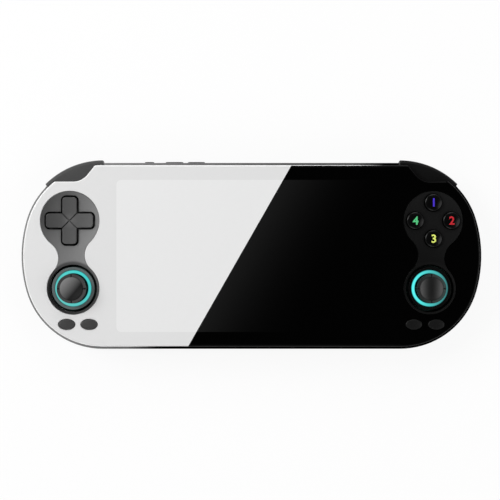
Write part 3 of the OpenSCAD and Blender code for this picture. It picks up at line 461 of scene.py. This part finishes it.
def rear_finish():
    """Satin rear cover with a dimpled grip on the palm swells."""
    sizes, colours = looks()
    finish = Finish("rear_satin", Specular_IOR_Level=0.3)
    dimples = finish.node(
        "ShaderNodeTexVoronoi", {"feature": "F1"},
        {"Vector": finish.place, "Scale": 700.0, "Randomness": 0.0})
    grip = ((abs(finish.x) - sizes.grip_from) / 0.004).clamped()
    fleck = 0.92 + 0.16 * finish.noise(0.0009, 3.0)
    finish.set(Base_Color=finish.shade(colours.graphite, fleck * (1 - 0.12 * grip * dimples)))
    finish.set(Roughness=0.5 + 0.08 * (finish.noise(0.02) - 0.5))
    return finish.bump(0.2 * finish.noise(0.0004, 3.0) + grip * dimples, 0.00004).material


def satin_finish(name, colour, roughness=0.42, specular=0.25, grain=0.0003):
    """Satin moulded plastic with a slight fleck."""
    finish = Finish(name, Specular_IOR_Level=specular)
    fleck = 0.92 + 0.16 * finish.noise(0.0009, 3.0)
    finish.set(Base_Color=finish.shade(colour, fleck))
    return finish.moulded(roughness, grain=grain).material


def glow_finish(side):
    """Lit light guide: bright along its middle and towards one side, with painted shade at its borders."""
    colours = looks()[1]
    finish = Finish(side + "_lit_ring", Roughness=0.25, Specular_IOR_Level=0.2, Emission_Strength=1.0)
    low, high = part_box(side + "_light_ring")
    middle, ring = (low + high) / 2, (high.x - low.x) / 2
    # Brighter towards one side of the ring
    bright_side = finish.across(middle, math.radians(40 if side == "left" else 180), 1.9 * ring)
    bright = finish.blend(bright_side, getattr(colours, f"glow_{side}_far"), getattr(colours, "glow_" + side))
    # Painted shade: the glow darkens towards the ring's borders
    off = abs(finish.radius(middle) - 0.912 * ring) / (0.092 * ring)
    light = finish.blend(off.clamped() ** 5, bright, colours.glow_edge)
    uneven = 0.78 + 0.3 * finish.noise(0.005, 1.0)
    finish.set(Base_Color=finish.shade(light, 0.1), Emission_Color=finish.shade(light, uneven))
    return finish.material


def mark_finish(name, colour):
    """Printed inlay of a numeral, with a faint painted glow."""
    # Painted glow: the ink emits faintly though it is no lamp
    finish = Finish(name, Emission_Strength=0.12, Specular_IOR_Level=0.3)
    ink = 0.94 + 0.12 * finish.noise(0.0004, 2.0)
    finish.set(Base_Color=finish.shade(colour, ink), Emission_Color=finish.shade(colour, ink))
    finish.set(Roughness=0.4 + 0.1 * finish.noise(0.0003))
    return finish.material


def metal_finish(name, colour, roughness=0.3, stretch=(40, 1, 1), grain=0.004):
    """Metal with fine lines along one way."""
    finish = Finish(name, Metallic=1.0)
    lines = finish.noise(grain, 4.0, stretch)
    finish.set(Base_Color=finish.shade(colour, 0.85 + 0.3 * lines))
    finish.set(Roughness=roughness + 0.18 * (lines - 0.5))
    return finish.bump(lines, 0.000003).material


def board_finish():
    """Dark solder mask over copper tracks."""
    colours = looks()[1]
    finish = Finish("solder_mask", Roughness=0.4, Specular_IOR_Level=0.25)
    tracks = finish.node(
        "ShaderNodeTexBrick", {"offset": 0.35, "squash": 1.6},
        {"Vector": finish.place, "Scale": 240.0, "Mortar Size": 0.06, "Bias": 0.0}, "Fac")
    copper = finish.shade(colours.solder_mask, 2.2)
    finish.set(Base_Color=finish.blend(tracks, colours.solder_mask, copper))
    return finish.bump(tracks, 0.00002).material


def foil_finish():
    """Foil pouch of the battery, slightly creased."""
    finish = Finish("battery_foil", Metallic=0.85)
    crease = finish.noise(0.009, 5.0, (1, 3, 1))
    finish.set(Base_Color=finish.shade(tone(178), 0.9 + 0.2 * crease), Roughness=0.32 + 0.2 * crease)
    return finish.bump(crease, 0.0003).material


def silicone_finish():
    """Pale silicone of the button membranes."""
    finish = Finish("silicone", Subsurface_Weight=0.2, Specular_IOR_Level=0.35)
    finish.set(Base_Color=finish.shade(tone(176), 0.94 + 0.12 * finish.noise(0.003)))
    return finish.moulded(0.5).material


def welded_copy(node, holes=()):
    """Copy of a node with merged corners and whole flat faces; cuts through holes keep the faces simple."""
    shape = bmesh.new()
    shape.from_mesh(NODES[node].data)
    bmesh.ops.remove_doubles(shape, verts=shape.verts, dist=WELD)
    for hole in holes:
        for normal in (Vector((1, 0, 0)), Vector((0, 1, 0))):
            cut = bmesh.ops.bisect_plane(
                shape, geom=shape.verts[:] + shape.edges[:] + shape.faces[:], dist=WELD,
                plane_co=middle_of(hole), plane_no=normal)
            for part in cut["geom_cut"]:
                if isinstance(part, bmesh.types.BMEdge):
                    part.seam = True
    bmesh.ops.dissolve_limit(
        shape, angle_limit=FLAT, verts=shape.verts, edges=shape.edges, delimit={"SEAM"})
    return shape


def any_edge(edge):
    return True


def round_sharp(shape, width, segments=2, choose=any_edge):
    """Rounds the sharp edges that choose picks."""
    edges = [
        edge for edge in shape.edges
        if edge.is_manifold and edge.calc_face_angle() > SHARP and choose(edge)]
    round_edges(shape, edges, width, segments)
    return shape


def round_edges(shape, edges, width, segments):
    bmesh.ops.bevel(
        shape, geom=edges, offset=width, offset_type="OFFSET", segments=segments, profile=0.5,
        affect="EDGES", clamp_overlap=False, material=-1)


def dish_normals(mesh, middle, radius):
    """Gives a dish the normals of its sphere, and flat tops their own; long facets would blur them."""
    def inwards(place):
        return Vector(((middle.x - place.x) / radius, (middle.y - place.y) / radius, 1)).normalized()
    normals = [Vector()] * len(mesh.loops)
    for face in mesh.polygons:
        dished = face.normal.dot(inwards(face.center)) > SAME_WAY
        if dished or face.normal.z > SAME_WAY:
            for loop in face.loop_indices:
                place = mesh.vertices[mesh.loops[loop].vertex_index].co
                normals[loop] = inwards(place) if dished else face.normal
    mesh.normals_split_custom_set(normals)


def piece(name, shape, material, node=None, body=None, crease=SHARP, dish=None):
    """Makes a shape a piece of the console that rides with a body and may stand for a node."""
    mesh = bpy.data.meshes.new(name)
    shape.to_mesh(mesh)
    shape.free()
    mesh.materials.clear()
    mesh.materials.append(material)
    mesh.shade_smooth()
    mesh.set_sharp_from_angle(angle=crease)
    made = bpy.data.objects.new(name, mesh)
    bpy.context.scene.collection.objects.link(made)
    if dish:
        dish_normals(mesh, *dish)
    else:
        made.modifiers.new("even_normals", "WEIGHTED_NORMAL").keep_sharp = True
    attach(made, body or BODY_OF[node])
    if node:
        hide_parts(node)
    return made


def dress(node, name, material, width):
    """Stands a copy with rounded edges in for a node."""
    return piece(name, round_sharp(welded_copy(node), width), material, node)


def at_height(height, within=2e-5):
    """Test for the edges that lie at a height."""
    return lambda edge: all(abs(corner.co.z - height) < within for corner in edge.verts)


def paint(material, *nodes):
    """Gives CAD nodes that keep their shape a finish."""
    for node in nodes:
        for slot in NODES[node].material_slots:
            slot.material = material


class CONSOLE_OT_stage(bpy.types.Operator):
    """Set up the camera, the lamps, the world and the floor"""
    bl_idname = "console.stage"
    bl_label = "Stage"

    def execute(self, context):
        scene = context.scene
        scene.view_settings.view_transform = "Standard"
        self.camera(scene)
        self.world(scene)
        self.floor(scene)
        for name, place, size, power in (
            ("key_softbox", (-0.7, 0.35, 0.7), 0.6, 6.4),
            ("top_softbox", (0.1, 0.85, 0.6), 0.7, 2.75),
            ("fill_softbox", (0.75, -0.15, 0.65), 0.7, 2.15),
            ("low_softbox", (-0.1, -0.8, 0.7), 0.7, 2.1),
        ):
            self.softbox(scene, name, Vector(place), size, power)
        return {"FINISHED"}

    def camera(self, scene):
        data = bpy.data.cameras.new("photo_camera")
        data.sensor_width = 36
        data.lens = 88.6
        eye = bpy.data.objects.new("photo_camera", data)
        eye.location = (CASE_MIDDLE.x - 0.0006, CASE_MIDDLE.y + 0.0024, FACE_Z + 0.5)
        scene.collection.objects.link(eye)
        scene.camera = eye

    def world(self, scene):
        """Pale round the sides and dim overhead, as in a tent with an opening for the camera."""
        world = bpy.data.worlds.new("tent")
        world.use_nodes = True
        tree = world.node_tree
        place = tree.nodes.new("ShaderNodeTexCoord")
        parts = tree.nodes.new("ShaderNodeSeparateXYZ")
        ramp = tree.nodes.new("ShaderNodeValToRGB")
        tree.links.new(place.outputs["Generated"], parts.inputs[0])
        tree.links.new(parts.outputs["Z"], ramp.inputs[0])
        tree.links.new(ramp.outputs[0], tree.nodes["Background"].inputs["Color"])
        ramp.color_ramp.elements[0].color = (0.5, 0.5, 0.5, 1)
        ramp.color_ramp.elements[0].position = 0.45
        ramp.color_ramp.elements[1].color = (0.02, 0.02, 0.02, 1)
        ramp.color_ramp.elements[1].position = 0.93
        scene.world = world

    def floor(self, scene):
        shape = bmesh.new()
        below = Matrix.Translation((0, 0, CAD_BOX[0].z - FLOOR_GAP))
        bmesh.ops.create_circle(shape, cap_ends=True, segments=96, radius=3.0, matrix=below)
        mesh = bpy.data.meshes.new("floor")
        shape.to_mesh(mesh)
        shape.free()
        finish = Finish("pale_floor", Base_Color=tone(247), Roughness=0.9, Specular_IOR_Level=0.0)
        rays = finish.node("ShaderNodeLightPath").socket.node.outputs
        seen = [Field(finish, rays[f"Is {kind} Ray"]) for kind in ("Camera", "Glossy", "Transmission")]
        white = finish.node("ShaderNodeEmission", sockets={"Color": (1, 1, 1), "Strength": 1.0})
        lit = Field(finish, finish.shader.outputs[0])
        factor = (seen[0] + seen[1] + seen[2]).clamped() * 0.9
        mixed = finish.node("ShaderNodeMixShader", sockets={0: factor, 1: lit, 2: white})
        finish.tree.links.new(mixed.socket, finish.tree.nodes["Material Output"].inputs["Surface"])
        mesh.materials.append(finish.material)
        floor = bpy.data.objects.new("floor", mesh)
        scene.collection.objects.link(floor)

    def softbox(self, scene, name, place, size, power):
        data = bpy.data.lights.new(name, "AREA")
        data.shape = "DISK"
        data.size = size
        data.energy = power
        lamp = bpy.data.objects.new(name, data)
        lamp.location = place
        lamp.rotation_euler = place.to_track_quat("Z", "Y").to_euler()
        scene.collection.objects.link(lamp)


class CONSOLE_OT_case(bpy.types.Operator):
    """Round the edges of the covers and the frame, and finish them"""
    bl_idname = "console.case"
    bl_label = "Case"

    def execute(self, context):
        sizes = looks()[0]
        self.cover(sizes)
        low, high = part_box("mid_frame")
        band = round_sharp(welded_copy("mid_frame"), sizes.panel_round, 2, at_height(high.z))
        piece("frame_band", band, frame_finish(), "mid_frame")
        piece("rear_cover", welded_copy("rear_shell"), rear_finish(), "rear_shell")
        screws = metal_finish("screw_steel", tone(120), 0.35)
        dress("case_screws", "cover_screws", screws, sizes.fine_round)
        for side in SIDES:
            self.dust_lip(side, sizes)
        return {"FINISHED"}

    def cover(self, sizes):
        """The outer edge is round in the solid; the notches and the openings in the face are rounded here."""
        holes = [node for side in SIDES for node in (
            PAD_OF[side], side + "_stick_collar", side + "_outer_key", side + "_inner_key")]
        shape = welded_copy("front_shell", holes)
        on_face = at_height(FACE_Z)
        round_sharp(shape, sizes.cover_round, 4, lambda edge: on_face(edge) and self.on_notch(edge))
        round_sharp(shape, sizes.panel_round, 2, lambda edge: on_face(edge) and self.on_opening(edge))
        piece("front_cover", shape, cover_finish(), "front_shell")

    def in_recess(self, corner):
        """True for a corner of the recess that holds the lens."""
        place = corner.co - CASE_MIDDLE
        return abs(place.x) < LENS_HALF.x + NEAR and abs(place.y) < LENS_HALF.y + NEAR

    def on_notch(self, edge):
        return all(
            corner.co.y - CASE_MIDDLE.y > NOTCH_ABOVE and not self.in_recess(corner) for corner in edge.verts)

    def on_opening(self, edge):
        return all(
            corner.co.y - CASE_MIDDLE.y < OPENING_BELOW and not self.in_recess(corner)
            for corner in edge.verts)

    def dust_lip(self, side, sizes):
        """Thin ledge between the levers that closes the view through the gap at the bumper's outer end."""
        hand = -1 if side == "left" else 1
        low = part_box(side + "_trigger")[1].z + LIP_GAP
        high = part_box(side + "_bumper")[0].z - LIP_GAP
        centre = Vector((hand * sizes.shoulder_x, sizes.shoulder_y, 0))
        shape = bmesh.new()
        turn = Matrix.Rotation(sizes.lip_from, 3, "Z")
        corners = [
            shape.verts.new(turn @ Vector((reach, 0, height)))
            for reach, height in (
                (sizes.lip_inner, low), (sizes.lip_outer, low),
                (sizes.lip_outer, high), (sizes.lip_inner, high))]
        face = shape.faces.new(corners)
        bmesh.ops.spin(
            shape, geom=[face, *face.edges, *face.verts], cent=(0, 0, 0), axis=(0, 0, 1),
            angle=sizes.lip_to - sizes.lip_from, steps=4, use_duplicate=False)
        bmesh.ops.scale(shape, verts=shape.verts, vec=(hand, 1, 1))
        bmesh.ops.translate(shape, verts=shape.verts, vec=centre)
        bmesh.ops.recalc_face_normals(shape, faces=shape.faces)
        round_sharp(shape, sizes.fine_round)
        piece(side + "_dust_lip", shape, frame_finish(), body=BODY_OF["mid_frame"])


class CONSOLE_OT_lens(bpy.types.Operator):
    """Grow the lens over its seam and print its two tones"""
    bl_idname = "console.lens"
    bl_label = "Lens"

    def execute(self, context):
        sizes = looks()[0]
        shape = welded_copy("front_lens")
        bmesh.ops.translate(shape, verts=shape.verts, vec=-CASE_MIDDLE)
        grow = Vector((1 + sizes.seam / LENS_HALF.x, 1 + sizes.seam / LENS_HALF.y, 1))
        bmesh.ops.scale(shape, verts=shape.verts, vec=grow)
        bmesh.ops.translate(shape, verts=shape.verts, vec=CASE_MIDDLE)
        piece("printed_lens", shape, lens_finish(), "front_lens")
        paint(satin_finish("display_back", tone(40), 0.3), "display_panel")
        return {"FINISHED"}


class CONSOLE_OT_control_plates(bpy.types.Operator):
    """Round and finish the figure-eight plates"""
    bl_idname = "console.control_plates"
    bl_label = "Control plates"

    def execute(self, context):
        sizes = looks()[0]
        buttons = ["face_button_" + place for place in BUTTONS]
        for side, pads in (("left", ["dpad"]), ("right", buttons)):
            node = side + "_control_plate"
            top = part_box(node)[1].z
            shape = welded_copy(node, [PAD_OF[side], side + "_stick_collar", *pads])
            round_sharp(shape, sizes.panel_round, 2, at_height(top))
            dish = (middle_of(PAD_OF[side]), sizes.plate_dish)
            piece(side + "_plate", shape, plate_finish(side), node, dish=dish)
        return {"FINISHED"}


class CONSOLE_OT_dpad(bpy.types.Operator):
    """Round and finish the D-pad"""
    bl_idname = "console.dpad"
    bl_label = "D-pad"

    def execute(self, context):
        sizes = looks()[0]
        finish = Finish("dpad_satin", Specular_IOR_Level=0.25)
        middle = middle_of("dpad")
        # Painted light: the D-pad is lighter to the right, and up to half again lighter near its middle, over the
        # grooves' shade
        painted_centre_light = 1 + 0.5 * (1 - finish.radius(middle) / 0.0035).clamped()
        finish.set(Base_Color=finish.shade(finish.fading(tone(65), tone(91), middle, 0, 0.02), painted_centre_light))
        cross = round_sharp(welded_copy("dpad"), sizes.key_round, 3, self.on_outline)
        dish = (middle, sizes.dpad_dish)
        piece("dpad_cross", cross, finish.moulded(0.42).material, "dpad", crease=math.radians(10), dish=dish)
        paint(satin_finish("pivot_plastic", tone(150)), "dpad_pivot")
        return {"FINISHED"}

    def on_outline(self, edge):
        """True for the edges of the arms, and not for those of the grooves between them."""
        low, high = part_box("dpad")
        middle = (low + high) / 2
        far = max(max(abs(corner.co.x - middle.x), abs(corner.co.y - middle.y)) for corner in edge.verts)
        return far > GROOVE_REACH and at_height(high.z, 0.0004)(edge)


class CONSOLE_OT_face_buttons(bpy.types.Operator):
    """Round the face buttons and print a numeral on each"""
    bl_idname = "console.face_buttons"
    bl_label = "Face buttons"

    def execute(self, context):
        sizes, colours = looks()
        gloss = satin_finish("button_gloss", tone(6), 0.2, 0.22)
        for number, side in enumerate(BUTTONS, 1):
            node = "face_button_" + side
            dress(node, side + "_button", gloss, sizes.key_round)
            ink = mark_finish(side + "_ink", getattr(colours, "mark_" + side))
            self.numeral(str(number), side, node, ink)
        return {"FINISHED"}

    def numeral(self, mark, side, node, material):
        """Numeral let into the dome of a button; it is cut into strips so that it can follow the dome."""
        sizes = looks()[0]
        shape = self.glyph(side + "_mark", mark)
        for normal in (Vector((1, 0, 0)), Vector((0, 1, 0))):
            for step in range(-4, 5):
                bmesh.ops.bisect_plane(
                    shape, geom=shape.verts[:] + shape.edges[:] + shape.faces[:], dist=WELD / 10,
                    plane_co=normal * (step + 0.5) * sizes.mark_height / 8, plane_no=normal)
        for corner in shape.verts:
            crown = sizes.button_crown
            corner.co.z += math.sqrt(crown ** 2 - corner.co.xy.length_squared) - crown
        low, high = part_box(node)
        level = high.z + sizes.mark_proud - sizes.mark_depth / 2
        seat = Vector(((low.x + high.x) / 2, (low.y + high.y) / 2, level))
        bmesh.ops.translate(shape, verts=shape.verts, vec=seat)
        piece(side + "_numeral", shape, material, body=BODY_OF[node])

    def glyph(self, name, mark):
        """Solid numeral about the origin; it is drawn large, because small outlines lose corners."""
        sizes = looks()[0]
        outline = bpy.data.curves.new(name, "FONT")
        outline.body = mark
        outline.extrude = 0.5
        text = bpy.data.objects.new(name, outline)
        bpy.context.scene.collection.objects.link(text)
        mesh = bpy.data.meshes.new_from_object(text.evaluated_get(bpy.context.evaluated_depsgraph_get()))
        bpy.data.objects.remove(text)
        shape = bmesh.new()
        shape.from_mesh(mesh)
        bmesh.ops.remove_doubles(shape, verts=shape.verts, dist=0.004)
        self.thicken(shape, sizes.mark_bold)
        low = Vector([min(corner.co[axis] for corner in shape.verts) for axis in range(3)])
        high = Vector([max(corner.co[axis] for corner in shape.verts) for axis in range(3)])
        bmesh.ops.translate(shape, verts=shape.verts, vec=-(low + high) / 2)
        size = sizes.mark_height / (high.y - low.y)
        bmesh.ops.scale(shape, verts=shape.verts, vec=(size, size, sizes.mark_depth))
        return shape

    def thicken(self, shape, by):
        """Moves the walls of a numeral outwards."""
        moves = []
        for corner in shape.verts:
            walls = [face.normal for face in corner.link_faces if abs(face.normal.z) < 0.5]
            heading = sum(walls, Vector()).normalized()
            moves.append(heading * by / max(heading.dot(walls[0]), 0.5))
        for corner, move in zip(shape.verts, moves):
            corner.co += move


class CONSOLE_OT_oval_keys(bpy.types.Operator):
    """Round and finish the oval keys"""
    bl_idname = "console.oval_keys"
    bl_label = "Oval keys"

    def execute(self, context):
        sizes = looks()[0]
        for side, colour, specular in (("left", tone(63), 0.25), ("right", tone(17), 0.15)):
            material = satin_finish(side + "_key_satin", colour, 0.42, specular)
            for place in ("outer", "inner"):
                dress(f"{side}_{place}_key", f"{side}_{place}_oval", material, sizes.key_round)
        return {"FINISHED"}


class CONSOLE_OT_thumbsticks(bpy.types.Operator):
    """Round and finish the sticks, and light their rings"""
    bl_idname = "console.thumbsticks"
    bl_label = "Thumbsticks"

    def execute(self, context):
        sizes = looks()[0]
        for side, shade in (("left", linear(98, 108, 108)), ("right", tone(2))):
            dress(side + "_stick_cap", side + "_cap", cap_finish(side), sizes.panel_round)
            stem = satin_finish(side + "_stem_satin", tone(20))
            dress(side + "_stick_stem", side + "_stem", stem, sizes.fine_round)
            dress(side + "_light_ring", side + "_ring", glow_finish(side), sizes.fine_round)
            collar = satin_finish(side + "_collar_satin", shade, 0.42, 0.15)
            dress(side + "_stick_collar", side + "_collar", collar, sizes.panel_round)
        return {"FINISHED"}


class CONSOLE_OT_shoulders(bpy.types.Operator):
    """Round and finish the bumpers and triggers"""
    bl_idname = "console.shoulders"
    bl_label = "Shoulders"

    def execute(self, context):
        sizes = looks()[0]
        for side, colour, specular in (("left", tone(72), 0.2), ("right", tone(14), 0.1)):
            material = satin_finish(side + "_shoulder_satin", colour, 0.45, specular)
            dress(side + "_bumper", side + "_bumper_lever", material, sizes.key_round)
            dress(side + "_trigger", side + "_trigger_lever", material, sizes.key_round)
        return {"FINISHED"}


class CONSOLE_OT_edge_parts(bpy.types.Operator):
    """Round and finish the top keys and the sockets"""
    bl_idname = "console.edge_parts"
    bl_label = "Top keys and sockets"

    def execute(self, context):
        sizes = looks()[0]
        material = satin_finish("top_key_satin", tone(68))
        for key in ("power_key", "volume_up_key", "volume_down_key"):
            dress(key, key + "_cap", material, sizes.key_round)
        dress("usb_socket", "usb_shell", metal_finish("socket_steel", tone(190)), sizes.fine_round)
        self.contacts(metal_finish("contact_gold", linear(226, 178, 92), 0.25))
        dress("card_socket", "card_shell", metal_finish("card_steel", tone(190)), sizes.fine_round)
        jack = satin_finish("jack_plastic", tone(14), 0.3)
        dress("headphone_socket", "headphone_barrel", jack, sizes.fine_round)
        return {"FINISHED"}

    def contacts(self, gold):
        """Contacts on both faces of the tongue in the USB socket."""
        sizes = looks()[0]
        low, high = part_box("usb_socket")
        middle = (low + high) / 2
        shape = bmesh.new()
        for face in (-1, 1):
            for place in range(-3, 4):
                strip = bmesh.ops.create_cube(shape, size=1.0)["verts"]
                size = (sizes.contact_width, sizes.contact_length, sizes.contact_rise * 2)
                bmesh.ops.scale(shape, verts=strip, vec=size)
                seat = Vector((
                    middle.x + place * sizes.contact_pitch,
                    low.y + sizes.contact_back + sizes.contact_length / 2,
                    middle.z + face * sizes.tongue_half))
                bmesh.ops.translate(shape, verts=strip, vec=seat)
        round_edges(shape, shape.edges[:], sizes.contact_rise / 2, 1)
        piece("usb_contacts", shape, gold, body=BODY_OF["usb_socket"])


class CONSOLE_OT_membranes(bpy.types.Operator):
    """Stand sheets and domes in for the membranes under the buttons and keys"""
    bl_idname = "console.membranes"
    bl_label = "Membranes"

    def execute(self, context):
        sizes = looks()[0]
        silicone = silicone_finish()
        presses = {
            side + "_key_membrane": [f"{side}_{place}_key" for place in ("outer", "inner")]
            for side in SIDES}
        presses["face_button_membrane"] = ["face_button_" + place for place in BUTTONS]
        for node, keys in presses.items():
            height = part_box(node)[0].z + sizes.sheet
            piece(node.replace("membrane", "sheet"), self.part(node, height, False), silicone, node)
            for key in keys:
                self.dome(node, key, height, silicone)
        paint(silicone, "dpad_membrane")
        return {"FINISHED"}

    def part(self, node, height, above):
        """Part of a membrane above or below a height, closed where it is cut."""
        shape = welded_copy(node)
        cut = bmesh.ops.bisect_plane(
            shape, geom=shape.verts[:] + shape.edges[:] + shape.faces[:], dist=WELD, plane_co=(0, 0, height),
            plane_no=(0, 0, 1), clear_inner=above, clear_outer=not above)["geom_cut"]
        edges = [part for part in cut if isinstance(part, bmesh.types.BMEdge)]
        bmesh.ops.triangle_fill(shape, edges=edges, use_beauty=True, use_dissolve=True)
        bmesh.ops.recalc_face_normals(shape, faces=shape.faces)
        return shape

    def dome(self, node, key, height, silicone):
        """Dome under a key, cut from the membrane round the key's middle."""
        sizes = looks()[0]
        shape = self.part(node, height, True)
        middle = middle_of(key)
        others = [corner for corner in shape.verts if (corner.co - middle).xy.length > sizes.dome_reach]
        bmesh.ops.delete(shape, geom=others, context="VERTS")
        made = piece(key + "_dome", shape, silicone, body=BODY_OF[node])
        press = next(joint for joint in frame["joints"] if joint["name"] == key + "_press")
        keep = 1 - press["range_m"][1] / (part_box(node)[1].z - height)
        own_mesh(made)


class CONSOLE_OT_inside(bpy.types.Operator):
    """Finish what lies inside the case"""
    bl_idname = "console.inside"
    bl_label = "Inside"

    def execute(self, context):
        paint(board_finish(), "main_board", "top_key_board", *(
            f"{side}_{kind}_board" for side in SIDES for kind in ("control", "light")))
        paint(foil_finish(), "battery")
        paint(metal_finish("tinned_can", tone(205), 0.28, (1, 30, 1)), "processor_shield")
        paint(metal_finish("bright_steel", tone(180), 0.25), "board_screws", *(
            f"{side}_{kind}" for side in SIDES for kind in ("shoulder_pin", "shoulder_switches")))
        paint(satin_finish("speaker_plastic", tone(20), 0.6), *(side + "_speaker" for side in SIDES))
        paint(satin_finish("module_plastic", tone(58), 0.5), *(
            f"{side}_stick_{kind}" for side in SIDES for kind in ("housing", "yoke")))
        return {"FINISHED"}


PIECES = (
    CONSOLE_OT_stage, CONSOLE_OT_case, CONSOLE_OT_lens, CONSOLE_OT_control_plates, CONSOLE_OT_dpad,
    CONSOLE_OT_face_buttons, CONSOLE_OT_oval_keys, CONSOLE_OT_thumbsticks, CONSOLE_OT_shoulders,
    CONSOLE_OT_edge_parts, CONSOLE_OT_membranes, CONSOLE_OT_inside,
)


class CONSOLE_PT_panel(bpy.types.Panel):
    """Sidebar panel with the console's pieces, sizes and colours"""
    bl_idname = "CONSOLE_PT_panel"
    bl_label = "Handheld Console"
    bl_space_type = "VIEW_3D"
    bl_region_type = "UI"
    bl_category = "Console"

    def draw(self, context):
        for operator in PIECES:
            self.layout.operator(operator.bl_idname)
        for group in looks():
            for name in group.__annotations__:
                self.layout.prop(group, name)


CLASSES = (ConsoleSizes, ConsoleColours, *PIECES, CONSOLE_PT_panel)


def register():
    for kind in CLASSES:
        bpy.utils.register_class(kind)
    bpy.types.Scene.console_sizes = PointerProperty(type=ConsoleSizes)
    bpy.types.Scene.console_colours = PointerProperty(type=ConsoleColours)


def unregister():
    del bpy.types.Scene.console_colours
    del bpy.types.Scene.console_sizes
    for kind in reversed(CLASSES):
        bpy.utils.unregister_class(kind)


def main():
    register()
    for operator in PIECES:
        group, name = operator.bl_idname.split(".")
        getattr(getattr(bpy.ops, group), name)()


if __name__ == "__main__":
    main()
